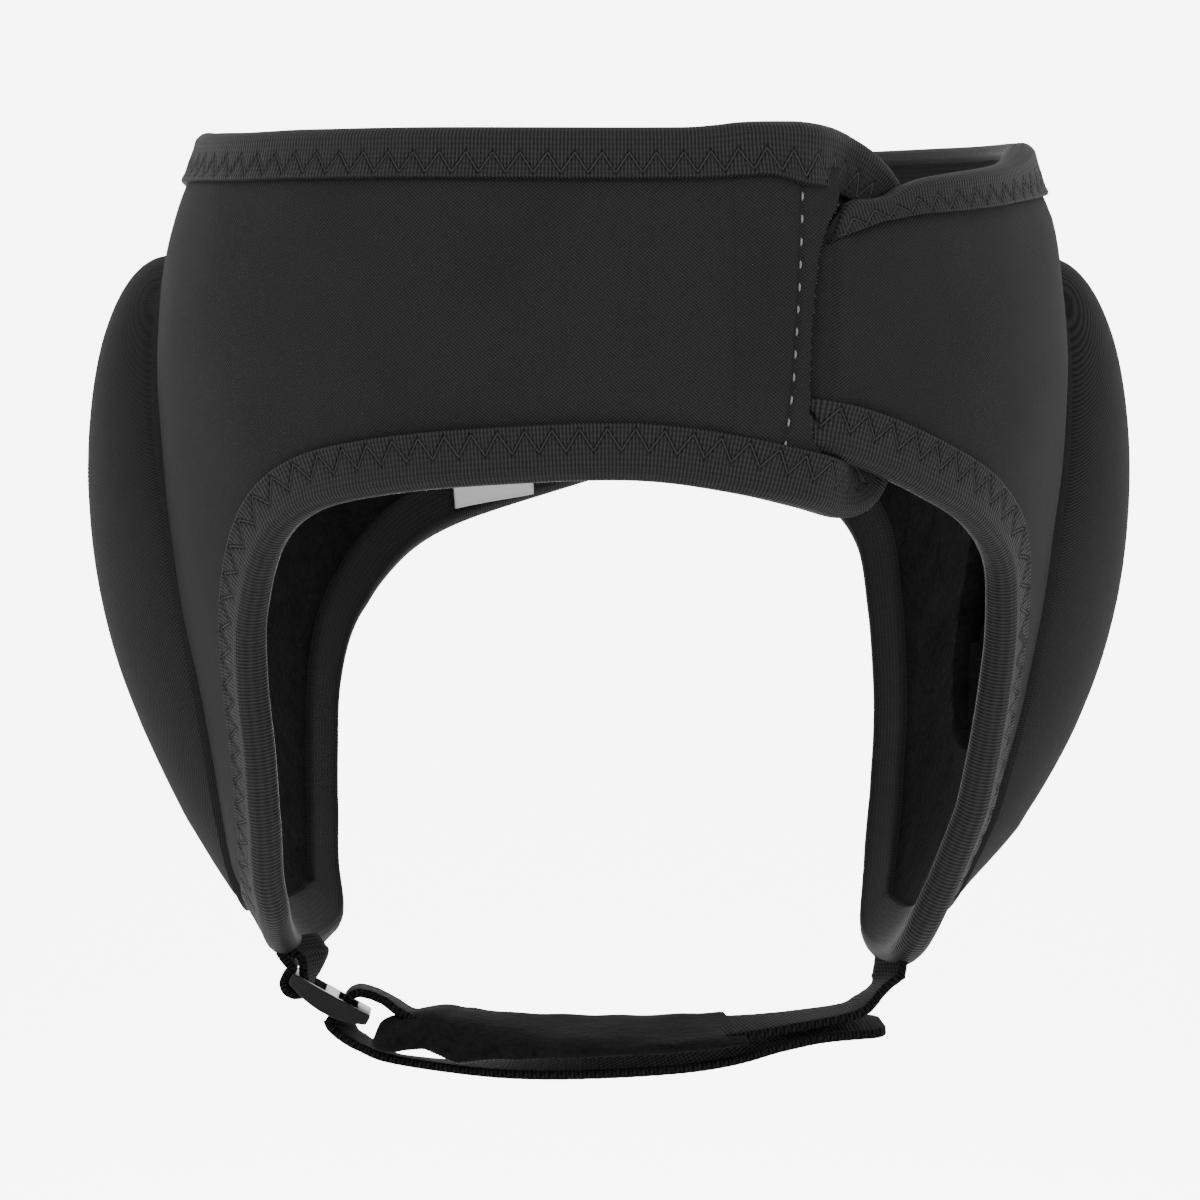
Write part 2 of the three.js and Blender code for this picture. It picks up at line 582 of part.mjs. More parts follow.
// A loop of webbing from the left tip round the buckle's first bar
function strapLoop() {
  const bar = new THREE.Vector3(-(BUCKLE_LENGTH - BUCKLE_BAR) / 2, 0, 0);
  bar.applyAxisAngle(new THREE.Vector3(0, 1, 0), rad(BUCKLE_SLOPE)).add(buckleMiddle);
  const reach = Math.hypot(BUCKLE_THICKNESS, BUCKLE_BAR) / 2 + FIT + WEBBING / 2;
  const seat = raised(column(LEFT_CUT, "foot", TIP_ROW)) - TAPE_STACK - 3 * FIT;
  const end = (lift, below) => {
    const at = offHead(column(LEFT_CUT, "footTurn", TIP_ROW), seat - below, lift);
    return at.setY(bar.y);
  };
  const spots = [end(-0.3, 0), end(-0.3, 1.2)];
  for (const degrees of [20, -20, -60, -100, -140, -180, -212])
    spots.push(
      new THREE.Vector3(bar.x + reach * Math.cos(rad(degrees)), bar.y, bar.z + reach * Math.sin(rad(degrees))),
    );
  spots.push(end(SHEET + 0.3, 0.6), end(SHEET + 0.3, 0));
  const curve = new THREE.CatmullRomCurve3(spots);
  const across = new THREE.Vector3(0, 1, 0);
  const frames = [];
  const steps = 20;
  for (let i = 0; i <= steps; i++)
    frames.push({ at: curve.getPoint(i / steps), across, face: curve.getTangent(i / steps).cross(across) });
  return webbing("left_strap_loop", frames);
}

// A blank label on the inside of the back, over the binding
function careLabel() {
  const steps = 3;
  const rings = [];
  for (let i = 0; i <= steps; i++) {
    const turn = THREE.MathUtils.lerp(...LABEL_TURNS, i / steps);
    const foot = raised(THREE.MathUtils.lerp(...LABEL_FEET, i / steps));
    const [inner, outer] = [[], []];
    for (let j = 0; j <= 4; j++) {
      const z = foot + (LABEL_HEIGHT * j) / 4;
      inner.push(offHead(turn, z, -TAPE_STACK - 2 * FIT - LABEL_THICKNESS));
      outer.push(offHead(turn, z, -TAPE_STACK - 2 * FIT));
    }
    rings.push([...inner, ...outer.reverse()]);
  }
  return piece("care_label", ringBody(rings, false), PAPER_CLOTH);
}

panel("left_panel", LEFT_CUT, leftSheet);
panel("right_panel", RIGHT_CUT, rightSheet);
bindings();
closureFly();
earPad("left_ear_pad", -1);
earPad("right_ear_pad", 1);
careLabel();
chinStrap();
chinPad();
buckle();
strapLoop();

export default guard;
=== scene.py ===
import math

import bmesh
import bpy
import numpy as np
from mathutils import Matrix, Vector


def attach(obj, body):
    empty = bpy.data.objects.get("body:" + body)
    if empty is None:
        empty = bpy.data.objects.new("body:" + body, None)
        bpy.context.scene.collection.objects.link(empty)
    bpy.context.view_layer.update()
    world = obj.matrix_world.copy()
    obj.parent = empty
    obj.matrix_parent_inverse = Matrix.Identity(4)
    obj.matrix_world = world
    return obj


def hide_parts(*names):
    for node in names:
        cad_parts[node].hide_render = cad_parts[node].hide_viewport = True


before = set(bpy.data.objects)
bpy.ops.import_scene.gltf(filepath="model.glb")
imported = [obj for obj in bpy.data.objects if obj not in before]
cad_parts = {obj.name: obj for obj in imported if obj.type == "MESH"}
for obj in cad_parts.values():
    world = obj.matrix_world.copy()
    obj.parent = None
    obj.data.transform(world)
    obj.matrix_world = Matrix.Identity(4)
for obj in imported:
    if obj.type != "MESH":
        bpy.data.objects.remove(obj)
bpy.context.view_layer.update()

# Lengths are in millimetres here and become metres when a mesh is made.
MM = 0.001

# The head that the guard is made for
HEAD_HALF_WIDTH = 81
HEAD_FRONT = 93.5
HEAD_REAR = 98
HEAD_SQUARENESS = 2.25
RIM_HEIGHT = 88
FLAP_DROP = 70
LEAN = 2.6

# Cloth
SHEET = 3.5
TAB = 1.6
TAPE_WIDTH = 9
TAPE_STACK = 1.0
FIT = 0.35
TAPE_FACE = TAPE_STACK - 0.08
TAPE_BACK = 0.1 - TAPE_STACK
TAPE_TURN = 1.2  # where the tape starts to turn round the edge
EDGE_STEP = 0.46
SWELL = 0.85  # how far the neoprene stands up beside the tape
SQUEEZE = 1.6  # how much the strap presses the right panel's end
WRAP_RISE = 2.1  # how far the left tape stands off where it holds the strap's jersey too
BROW_DROP = 1.7  # how far below the rim the brow's tape starts
BROW_WIDER = 0.8  # how much wider that tape is over the brow
TURN_IN = 1.7  # and where it turns in behind the right panel

# Closure at the brow, in degrees from the middle of the front
TAB_STARTS = 11
TAB_THIN = 18
FLY_STARTS = 10.5
LAP_STARTS = 34
LAP_ENDS = 58
TAB_DIP = 2.4
LAP_RISE = TAB + TAPE_STACK + FIT + TAPE_STACK - TAB_DIP
# Heights as shares of the rim's: the brow's top, then the feet of the strap's jersey and of two seams
BROW_TOP = 0.946
FLY_FOOT = 0.207
SEAM_FOOT = 0.217
BACK_FOOT = 0.284

# Ear pads
PAD_HALF_HEIGHT = 60.7
PAD_HALF_WIDTH = 37
PAD_CENTRE = (24, 4.9)
PAD_TILT = 0.17
PAD_HEIGHT = 17.5
PAD_EDGE = 1.7
PAD_WALL = 8
PAD_EGG = 0.13
PAD_BROW = 0.22
PAD_STEEP = (0.76, 0.37)
CAVITY_SHARE = 0.62
EAR_HOLE = (20, 34)
VENT_RADIUS = 4.6
VENT_RAISED = 21

# Webbing, chin pad and buckle
WEBBING = 1.6
WEBBING_WIDTH = 20
TIP_REACH = 55.8
STRAP_HANG = 19.3
STRAP_BACK = 6
SLEEVE_WIDTH = 27
BUCKLE_LENGTH = 16.6
BUCKLE_WIDTH = 27
BUCKLE_THICKNESS = 2.4
BUCKLE_BAR = 2.9
BUCKLE_SLOPE = 23
BUCKLE_TIPPED = 6  # steeper than its webbing loop
BUCKLE_PLATE = 1.9  # its thickness, and how far the rails sag
BUCKLE_SLACK = 1.6  # how much wider its slots are than the webbing
BUCKLE_VOXEL = 0.28
BUCKLE_AT = (-0.952, 0.25)

# Care label
LABEL_THICKNESS = 0.4
LABEL_HEIGHT = 24
LABEL_TURNS = (-161.2, -171.6)
LABEL_FEET = (0.202, 0.238)

# Stitches
ZIGZAG_PITCH = 4.5
ZIGZAG_FROM_EDGE = (1.1, 4.9)  # from the tape's own edge
THREAD = 0.17
DASH_LENGTH = 1.5
DASH_PITCH = 3.9

# The right rim tape as it shows: turn, and how far in from the rim it starts and ends
RIM_SHOWN = [
    (19.5, 5.9, 6.4), (20.7, 5.2, 6.2), (21.3, 4.05, 6.2), (22.2, 2.5, 6.2), (23.2, 1.6, 6.25),
    (24.3, 1.5, 6.25), (26.3, 2.3, 6.3), (28.2, 2.7, 6.8), (30.8, 2.1, 7.2), (34.5, 1.9, 7.8),
    (41, 1.95, 8.3), (48, 2, 8.5), (54, 1.8, 8.55), (60, 1.1, 8.7), (68, 0, 9),
]
# The raw edge of the strap's outer jersey: height and turn
RAW_EDGE = [
    (24, 21.6), (24.7, 21.2), (26.7, 20), (28.8, 19.25), (33, 18.85), (38.6, 18.8), (47, 19),
    (54, 19.4), (61, 19.95), (63.5, 20.5), (66.1, 21.2), (68.4, 22.1), (71.2, 22.8), (73, 22.9),
]
# The seam beside it
SEAM = [(25.5, 16.15), (28, 16.55), (38, 17.25), (54, 17.9), (73, 18.5)]

# The stitches on the left flap's lining, from turn and height to turn and height
LINING_SEAM = [(-129.5, -36.8), (-127.1, -54.4)]

# The camera
CAMERA_DISTANCE = 1300
CAMERA_TURN = 1.3  # degrees to the left of the middle
CAMERA_FOCAL = 6890  # pixels of an image 1200 wide
CAMERA_ASIDE = 2.26

# The head from below the flaps to over the rim: height as a share of the flaps' drop or the rim's
# height, then side, front and rear as shares of the full ones, and how much of the lean is there
HEAD = [
    (-1.2, 0.545, 0.56, 0.46, 1), (-1.086, 0.593, 0.61, 0.51, 1), (-0.914, 0.704, 0.674, 0.571, 1),
    (-0.743, 0.785, 0.749, 0.643, 1), (-0.543, 0.846, 0.824, 0.724, 0.46),
    (-0.286, 0.896, 0.898, 0.816, 0.1), (0, 0.946, 0.952, 0.898, 0),
    (0.205, 0.979, 0.989, 0.959, 0), (0.4, 0.998, 1, 0.99, 0), (0.57, 1, 1, 1, 0),
    (0.75, 0.979, 0.995, 1, 0), (0.91, 0.932, 0.979, 0.98, 0), (1.05, 0.864, 0.941, 0.939, 0),
    (1.2, 0.78, 0.89, 0.89, 0),
]
SIDE, FRONT, REAR, LEANING = range(4)

# Lines across each panel's cut: turn and height at the lower edge, then at the rim.
# At the brow and the back the lower edges are up to 1.5 mm above those of the solids.
LEFT_CUT = [
    (-179.9, 0.3, -179.9, 1), (-161, 0.183, -160, 0.998), (-151.5, 0.072, -149, 0.995),
    (-144.5, -0.064, -142, 0.992), (-139.5, -0.239, -136, 0.989), (-136, -0.44, -130, 0.986),
    (-132.5, -0.65, -124, 0.984), (-127.5, -0.845, -117.5, 0.981), (-119.5, -0.908, -111, 0.978),
    (-108, -0.93, -103.5, 0.977), (-96, -0.925, -96, 0.977), (-84, -0.908, -88, 0.977),
    (-73.5, -0.862, -80, 0.977), (-65.5, -0.79, -72, 0.976), (-59, -0.63, -65, 0.971),
    (-55.5, -0.43, -58, 0.965), (-53.5, -0.213, -51.5, 0.959), (-50, -0.03, -45.5, 0.956),
    (-44, 0.112, -39.5, 0.954), (-36.5, 0.19, -33, 0.951), (-26, 0.226, -24, 0.948),
    (-12, 0.245, -11, 0.944), (1, 0.251, 1, 0.943), (11, 0.229, 11, 0.945),
    (18, 0.197, 18.5, 0.948), (24, 0.174, 26, 0.93), (28.5, 0.19, 31.5, 0.873),
    (30.9, 0.25, 34.4, 0.79), (32, 0.34, 35.6, 0.69),
]
RIGHT_CUT = [
    (179.9, 0.3, 179.9, 1), (161, 0.282, 160, 0.998), (151.5, 0.228, 150, 0.995),
    (146, 0.14, 142.5, 0.992), (142.8, 0.02, 136, 0.989), (139.2, -0.18, 129, 0.985),
    (135.5, -0.38, 122, 0.98), (131.5, -0.58, 114.5, 0.975), (124.8, -0.78, 107, 0.97),
    (118.5, -0.905, 99.5, 0.965), (108.5, -0.95, 92, 0.959), (96, -0.953, 85, 0.953),
    (84.5, -0.925, 78, 0.947), (75.5, -0.85, 71.5, 0.939), (69.5, -0.7, 65.5, 0.93),
    (64.6, -0.5, 60.5, 0.92), (60.2, -0.29, 56, 0.911), (57, -0.1, 51, 0.9),
    (52.2, 0.06, 45.5, 0.887), (44, 0.155, 39, 0.871), (34, 0.225, 32.5, 0.852),
    (26, 0.276, 26.5, 0.82), (20.6, 0.3, 21, 0.783), (18.5, 0.303, 18.5, 0.762),
]

# The strap's route: share of TIP_REACH, share of STRAP_HANG below the tips,
# millimetres ahead, tilt in degrees
STRAP_ROUTE = [
    (0.945, 0.06, 0, 0), (0.915, 0.175, 0.3, 0), (0.869, 0.297, 0.6, 1), (0.8, 0.412, 1.5, 3),
    (0.64, 0.491, 3, 6), (0.42, 0.565, 5, 9), (0.2, 0.607, 6.5, 10), (-0.04, 0.63, 7, 10),
    (-0.28, 0.607, 6.5, 9), (-0.48, 0.56, 5, 7), (-0.6, 0.491, 3.5, 4), (-0.69, 0.409, 2.5, 1),
    (-0.755, 0.303, 1.5, 0), (-0.81, 0.229, 1, 0), (-0.855, 0.201, 1, 0), (-0.885, 0.243, 1, 0),
    (-0.9, 0.335, 1, 0), (-0.915, 0.428, 1, -1), (-0.92, 0.52, 1, -2), (-0.89, 0.63, 1.5, -3),
    (-0.815, 0.769, 2, -4), (-0.72, 0.866, 3, -3), (-0.5, 0.935, 5, 0), (-0.26, 0.926, 6.5, 7),
    (0, 0.889, 7, 10), (0.24, 0.843, 6.5, 10), (0.42, 0.769, 5, 10), (0.56, 0.676, 4, 9),
    (0.7, 0.602, 3, 8), (0.92, 0.547, 2.5, 8),
]
SLEEVE_SPAN = (5, 11)  # places on the route
# The chin pad from right to left: how far it stands up and down, and how low its front lobe hangs
PAD_SHAPE = [
    (0.8, 0.8, 0), (1.2, 1.1, 0), (1.4, 1.3, 0), (1.6, 1.5, 0.2), (1.8, 1.6, 0.9), (2, 1.8, 1.7),
    (2.4, 2, 3.8), (2.8, 2.3, 2.9), (3.3, 2.9, 3), (2.8, 3, 2.2),
]
PAD_END_SHIFT = (-5.0, 0, -3.0)  # where its left end goes from the strap


def through(values, place):
    """A smooth curve through evenly spaced values, at a place counted in values."""
    values = np.asarray(values, float)
    last = len(values) - 1
    place = np.asarray(place, float)
    i = np.clip(np.floor(place).astype(int), 0, last - 1)
    t = place - i
    slopes = np.empty_like(values)
    slopes[1:-1] = (values[2:] - values[:-2]) / 2
    slopes[0] = values[1] - values[0]
    slopes[-1] = values[-1] - values[-2]
    a, b, ta, tb = values[i], values[i + 1], slopes[i], slopes[i + 1]
    return a + t * ta + t * t * (3 * (b - a) - 2 * ta - tb) + t**3 * (2 * (a - b) + ta + tb)


def ease(x, low, high):
    t = np.clip((np.asarray(x, float) - low) / (high - low), 0, 1)
    return t * t * (3 - 2 * t)


def raised(share):
    share = np.asarray(share, float)
    return share * np.where(share > 0, RIM_HEIGHT, FLAP_DROP)


def head_column(key, z):
    """A column of the head's table at a height in millimetres."""
    z = np.asarray(z, float)
    share = z / np.where(z > 0, RIM_HEIGHT, FLAP_DROP)
    heights, *columns = zip(*HEAD)
    return through(columns[key], np.interp(share, heights, np.arange(len(HEAD))))


def head_radius(turn, z):
    s, c = np.sin(np.radians(turn)), np.cos(np.radians(turn))
    half = HEAD_HALF_WIDTH * head_column(SIDE, z)
    deep = np.where(c > 0, HEAD_FRONT * head_column(FRONT, z), HEAD_REAR * head_column(REAR, z))
    total = np.abs(s / half) ** HEAD_SQUARENESS + np.abs(c / deep) ** HEAD_SQUARENESS
    return total ** (-1 / HEAD_SQUARENESS)


def on_head(turn, z):
    turn, z = np.broadcast_arrays(np.asarray(turn, float), np.asarray(z, float))
    r = head_radius(turn, z)
    a = np.radians(turn)
    lean = LEAN * head_column(LEANING, z)
    return np.stack([r * np.sin(a) - lean, -r * np.cos(a), z], -1)


def unit(v):
    return v / np.linalg.norm(v, axis=-1, keepdims=True)


def head_normal(turn, z):
    around = on_head(turn + 0.5, z) - on_head(turn - 0.5, z)
    up = on_head(turn, z + 0.5) - on_head(turn, z - 0.5)
    return unit(np.cross(around, up))


def off_head(turn, z, lift):
    turn, z, lift = np.broadcast_arrays(*(np.asarray(x, float) for x in (turn, z, lift)))
    return on_head(turn, z) + head_normal(turn, z) * lift[..., None]


def left_sheet(turn):
    tab = ease(turn, TAB_STARTS, TAB_THIN)
    return -TAB_DIP * tab, SHEET + (TAB - SHEET) * tab


def right_sheet(turn):
    turn = np.asarray(turn, float)
    lift = np.where(turn > 0, LAP_RISE * (1 - ease(turn, LAP_STARTS, LAP_ENDS)), 0)
    return lift, np.full_like(lift, SHEET)


def squeezed_sheet(turn):
    """The right panel, pressed thinner where the strap closes over its end."""
    lift, thick = right_sheet(turn)
    return lift, thick - SQUEEZE * (1 - ease(turn, 18.5, 23))


def wrapped(turn):
    """How far the left tape's outer face stands off the tab beside the strap's jersey."""
    lift, thick = left_sheet(turn)
    level = SHEET + WRAP_RISE * ease(turn, FLY_STARTS - 1, TAB_THIN + 1)
    extra = np.maximum(level - lift - thick, 0) * (np.asarray(turn) > 0)
    return extra * (1 - ease(turn, 19, 28))


def swell(edge):
    """How far soft neoprene stands up beyond the tape that presses its edge."""
    return SWELL * (1 - np.exp(-np.clip(edge - TAPE_WIDTH - 0.2, 0, None) / 2.2))


def waviness(turn, z):
    """Slow unevenness of soft cloth over a head."""
    a, b = np.asarray(turn) * 1.4, np.asarray(z)
    slow = np.sin(a * 0.071 + b * 0.043) * np.sin(b * 0.081 - a * 0.033 + 1.1)
    return 0.28 * slow + 0.12 * np.sin(a * 0.19 - b * 0.11) * np.sin(b * 0.17 + a * 0.07)


# Meshes

def grid_faces(rows, cols, close_rows=False, close_cols=False, start=0):
    r = np.arange(rows if close_rows else rows - 1)
    c = np.arange(cols if close_cols else cols - 1)
    r, c = (x.ravel() for x in np.meshgrid(r, c, indexing="ij"))
    r2, c2 = (r + 1) % rows, (c + 1) % cols
    return np.stack([r * cols + c, r2 * cols + c, r2 * cols + c2, r * cols + c2], -1) + start


def capped_faces(rows, cols, start=0):
    """Faces of a tube whose rings are the rows of a grid, closed at both ends."""
    last = start + (rows - 1) * cols
    faces = [list(q) for q in grid_faces(rows, cols, close_cols=True, start=start)]
    return faces + [list(range(start, start + cols))[::-1], list(range(last, last + cols))]


def rim_walk(rows, cols):
    """Indices round the border of a grid."""
    top = list(range(cols))
    right = [r * cols + cols - 1 for r in range(1, rows)]
    bottom = [(rows - 1) * cols + c for c in range(cols - 2, -1, -1)]
    left = [r * cols for r in range(rows - 2, 0, -1)]
    return np.array(top + right + bottom + left)


def paired(a, b):
    return np.stack(np.broadcast_arrays(a, b), -1)


def evenly(values, count):
    """Places along a list, counted in its items."""
    return np.linspace(0, len(values) - 1, count)


def lengths(path):
    """The length along a path at each of its points."""
    return np.concatenate([[0], np.cumsum(np.linalg.norm(np.diff(path, axis=0), axis=1))])


def put(name, data):
    obj = bpy.data.objects.new(name, data)
    bpy.context.scene.collection.objects.link(obj)
    return obj


def make(name, points, faces, coat, looks, marks=None):
    """A smooth object. coat is a place on the cloth in millimetres for each point.

    marks is the number of a look for each face."""
    mesh = bpy.data.meshes.new(name)
    mesh.from_pydata((np.asarray(points) * MM).tolist(), [], [list(map(int, f)) for f in faces])
    for look in looks:
        mesh.materials.append(look)
    if marks is not None:
        mesh.polygons.foreach_set("material_index", np.asarray(marks, np.int32))
    layer = mesh.uv_layers.new(name="cloth")
    corner = np.empty(len(mesh.loops), np.int32)
    mesh.loops.foreach_get("vertex_index", corner)
    layer.data.foreach_set("uv", np.asarray(coat, np.float32)[corner].ravel())
    shell = bmesh.new()
    shell.from_mesh(mesh)
    bmesh.ops.recalc_face_normals(shell, faces=shell.faces)
    shell.to_mesh(mesh)
    shell.free()
    mesh.polygons.foreach_set("use_smooth", np.ones(len(mesh.polygons), bool))
    mesh.update()
    return put(name, mesh)


def slab(name, outer, inner, coat, looks):
    """A closed sheet between two grids of one size. A second look is on all but its outer face."""
    rows, cols = outer.shape[:2]
    count = rows * cols
    points = np.concatenate([outer.reshape(-1, 3), inner.reshape(-1, 3)])
    front = grid_faces(rows, cols)
    back = grid_faces(rows, cols, start=count)[:, ::-1]
    walk = rim_walk(rows, cols)
    after = np.roll(walk, -1)
    wall = np.stack([walk, after, after + count, walk + count], -1)
    faces = np.concatenate([front, back, wall])
    marks = np.arange(len(faces)) >= len(front) if len(looks) > 1 else None
    flat = coat.reshape(-1, 2)
    return make(name, points, faces, np.concatenate([flat, flat]), looks, marks)


def sleeve(name, grid, coat, look):
    """A closed tube whose rings are the rows of a grid."""
    faces = capped_faces(*grid.shape[:2])
    return make(name, grid.reshape(-1, 3), faces, coat.reshape(-1, 2), [look])


def threads(name, rows, look, sides=5):
    """Round threads: each row is its points, the side that it lies on and its radius."""
    points, faces, coat = [], [], []
    start = 0
    angle = 2 * np.pi * np.arange(sides) / sides
    for path, up, radius in rows:
        path = np.asarray(path, float)
        along = unit(np.gradient(path, axis=0))
        across = unit(np.cross(along, up))
        over = np.cross(across, along)
        ring = across[:, None] * np.cos(angle)[:, None] + over[:, None] * np.sin(angle)[:, None]
        size = np.full(len(path), radius)
        size[[0, -1]] *= 0.35
        points.append((path[:, None] + ring * size[:, None, None]).reshape(-1, 3))
        faces += capped_faces(len(path), sides, start)
        coat.append(paired(lengths(path)[:, None], angle).reshape(-1, 2))
        start += len(path) * sides
    return make(name, np.concatenate(points), faces, np.concatenate(coat), [look])


# Materials

class Nodes:
    """A material's node tree with short calls."""

    def __init__(self, name):
        self.material = bpy.data.materials.new(name)
        self.material.use_nodes = True
        self.tree = self.material.node_tree
        self.shader = self.tree.nodes["Principled BSDF"]

    def add(self, kind, inputs, **values):
        """A node. Each of its inputs is given a value or the output of another node."""
        node = self.tree.nodes.new(kind)
        for key, value in values.items():
            setattr(node, key, value)
        for key, value in inputs.items():
            if isinstance(value, bpy.types.NodeSocket):
                self.tree.links.new(value, node.inputs[key])
            else:
                node.inputs[key].default_value = value
        return node

    def cloth(self):
        return self.add("ShaderNodeUVMap", {}, uv_map="cloth").outputs["UV"]

    def bands(self, pitch, turn, wobble):
        """Ribs of a pitch in millimetres, whose direction across is turned by an angle in degrees."""
        values = {"Vector": self.cloth(), "Rotation": (0, 0, math.radians(turn))}
        place = self.add("ShaderNodeMapping", values).outputs["Vector"]
        scale = math.pi / 10 / pitch
        values = {"Vector": place, "Scale": scale, "Distortion": wobble, "Detail Scale": 2}
        kind = {"wave_type": "BANDS", "bands_direction": "X", "wave_profile": "SIN"}
        return self.add("ShaderNodeTexWave", values, **kind).outputs["Fac"]

    def noise(self, size, detail=2.0, rough=0.5):
        """Noise in space, with features of a size in millimetres."""
        place = self.add("ShaderNodeTexCoord", {}).outputs["Object"]
        values = {"Vector": place, "Scale": 1 / (size * MM), "Detail": detail, "Roughness": rough}
        return self.add("ShaderNodeTexNoise", values).outputs["Fac"]

    def blend(self, a, b, share=0.5, mode="MIX"):
        values = {"Factor": share, 6: a, 7: b}
        return self.add("ShaderNodeMix", values, data_type="RGBA", blend_type=mode).outputs[2]

    def maths(self, operation, *values, clamp=False):
        values = dict(enumerate(values))
        return self.add("ShaderNodeMath", values, operation=operation, use_clamp=clamp).outputs[0]

    def cloth_place(self):
        return self.add("ShaderNodeSeparateXYZ", {"Vector": self.cloth()}).outputs[:2]

    def zigzag_groove(self, half_width):
        """1 on the line of the zigzag stitches, 0 at a distance in millimetres from it. It drives both
        the groove's bump and a painted shade along that groove.
        """
        along, inward = self.cloth_place()
        phase = self.maths("FRACT", self.maths("DIVIDE", along, ZIGZAG_PITCH))
        off_middle = self.maths("ABSOLUTE", self.maths("SUBTRACT", phase, 0.5))
        wave = self.maths("MULTIPLY_ADD", off_middle, 4, -1)
        low, high = (TAPE_WIDTH - x for x in ZIGZAG_FROM_EDGE)
        line = self.maths("MULTIPLY_ADD", wave, (low - high) / 2, (low + high) / 2)
        near = self.maths("ABSOLUTE", self.maths("SUBTRACT", inward, line))
        return self.maths("SUBTRACT", 1, self.maths("DIVIDE", near, half_width), clamp=True)

    def ramp(self, source, low, high, start=0.0, end=1.0, warm=0.0):
        """Greys from a low to a high level."""
        ramp = self.add("ShaderNodeValToRGB", {"Fac": source})
        for element, level, place in zip(ramp.color_ramp.elements, (low, high), (start, end)):
            element.position = place
            element.color = (level * (1 + warm), level, level * (1 - warm), 1)
        return ramp.outputs["Color"]

    def colour(self, source):
        self.tree.links.new(source, self.shader.inputs["Base Color"])

    def bump(self, source, depth, below=None):
        values = {"Strength": 1, "Distance": depth * MM, "Height": source}
        if below:
            values["Normal"] = below
        return self.add("ShaderNodeBump", values).outputs["Normal"]

    def glow(self, strength):
        self.shader.inputs["Emission Color"].default_value = (1, 1, 1, 1)
        self.shader.inputs["Emission Strength"].default_value = strength

    def surface(self, normal, roughness, specular, sheen=0.0, sheen_roughness=0.5):
        shader = self.shader
        if normal:
            self.tree.links.new(normal, shader.inputs["Normal"])
        shader.inputs["Roughness"].default_value = roughness
        shader.inputs["Specular IOR Level"].default_value = specular
        shader.inputs["Sheen Weight"].default_value = sheen
        shader.inputs["Sheen Roughness"].default_value = sheen_roughness
        return self.material


def jersey(name, lean):
    """Fine stretch jersey, whose twill leans one way or the other."""
    n = Nodes(name)
    rib = n.bands(0.42, -45 * lean, 0.35)
    stitch = n.bands(0.5, 45 * lean, 0.35)
    grain = n.noise(0.5, 2)
    cloud = n.noise(26, 3)
    weave = n.blend(rib, stitch, 0.28)
    mottled = n.blend(weave, grain, 0.3)
    dark = n.ramp(mottled, 0.006, 0.0245, 0.15, 0.85)
    cast = n.ramp(cloud, 0.82, 1.0, 0.3, 0.7)
    n.colour(n.blend(dark, cast, 1.0, "MULTIPLY"))
    fine = n.bump(weave, 0.1)
    return n.surface(n.bump(grain, 0.025, fine), 0.68, 0.08, 0.0, 0.4)


def tape_cloth():
    """Ribbed stretch tape, with its ribs across the edge that it binds, and painted shade along the
    groove of its zigzag stitches.
    """
    n = Nodes("tape cloth")
    rib = n.bands(0.62, 0, 0.6)
    thread = n.bands(0.9, 90, 1.2)
    grain = n.noise(0.4, 2)
    weave = n.blend(rib, thread, 0.25)
    mottled = n.blend(weave, grain, 0.25)
    dark = n.ramp(mottled, 0.004, 0.027, 0.2, 0.85)
    groove_and_shade = n.zigzag_groove(0.75)
    # Painted shade: the colour is darkened along the zigzag stitch groove, where shade falls in the
    # recess
    n.colour(n.blend(dark, n.ramp(groove_and_shade, 1, 0.25, 0.3, 0.8), 1.0, "MULTIPLY"))
    fine = n.bump(weave, 0.2)
    drawn = n.bump(groove_and_shade, -0.6, fine)
    return n.surface(n.bump(grain, 0.05, drawn), 0.6, 0.12, 0.02, 0.4)


def fleece():
    """Brushed loop lining: deep, dull and uneven."""
    n = Nodes("fleece lining")
    tuft = n.noise(1.1, 4, 0.65)
    patch = n.noise(7, 3, 0.6)
    both = n.blend(tuft, patch, 0.45)
    n.colour(n.ramp(both, 0.0015, 0.011, 0.35, 0.75))
    rough = n.bump(patch, 0.5)
    return n.surface(n.bump(tuft, 0.3, rough), 0.95, 0.05, 0.02, 0.6)


def web_cloth():
    """Woven polyester webbing with fine ribs across and a soft herringbone."""
    n = Nodes("web cloth")
    weft = n.bands(0.75, 0, 0.4)
    left = n.bands(1.3, 35, 0.5)
    weave = n.blend(weft, left, 0.4)
    grain = n.noise(0.35, 2)
    mottled = n.blend(weave, grain, 0.3)
    dark = n.ramp(mottled, 0.002, 0.013, 0.25, 0.85)
    middle = WEBBING_WIDTH / 2 - WEBBING * 0.3
    off_middle = n.maths("ABSOLUTE", n.maths("SUBTRACT", n.cloth_place()[1], middle))
    line = n.maths("ABSOLUTE", n.maths("SUBTRACT", off_middle, WEBBING_WIDTH / 2 - 2.2))
    selvedge = n.maths("SUBTRACT", 1, n.maths("DIVIDE", line, 0.3), clamp=True)
    n.colour(n.blend(dark, n.ramp(selvedge, 0, 0.03, 0.2, 0.9), 1.0, "ADD"))
    return n.surface(n.bump(weave, 0.2), 0.85, 0.03, 0.01, 0.4)


def thread_look(name, level):
    n = Nodes(name)
    twist = n.bands(0.3, 60, 0.2)
    n.colour(n.ramp(twist, level * 0.6, level))
    return n.surface(n.bump(twist, 0.04), 0.55, 0.3, 0.05)


def plastic():
    n = Nodes("moulded plastic")
    grain = n.noise(0.7, 3)
    patch = n.noise(5, 2)
    n.colour(n.ramp(patch, 0.006, 0.011, 0.3, 0.7))
    return n.surface(n.bump(grain, 0.03), 0.45, 0.14)


def label_cloth():
    n = Nodes("label cloth")
    weave = n.bands(0.3, 0, 0.2)
    grain = n.noise(2.5, 3)
    both = n.blend(weave, grain, 0.5)
    n.colour(n.ramp(both, 0.6, 0.72, warm=0.01))
    return n.surface(n.bump(both, 0.04), 0.55, 0.3, 0.05)


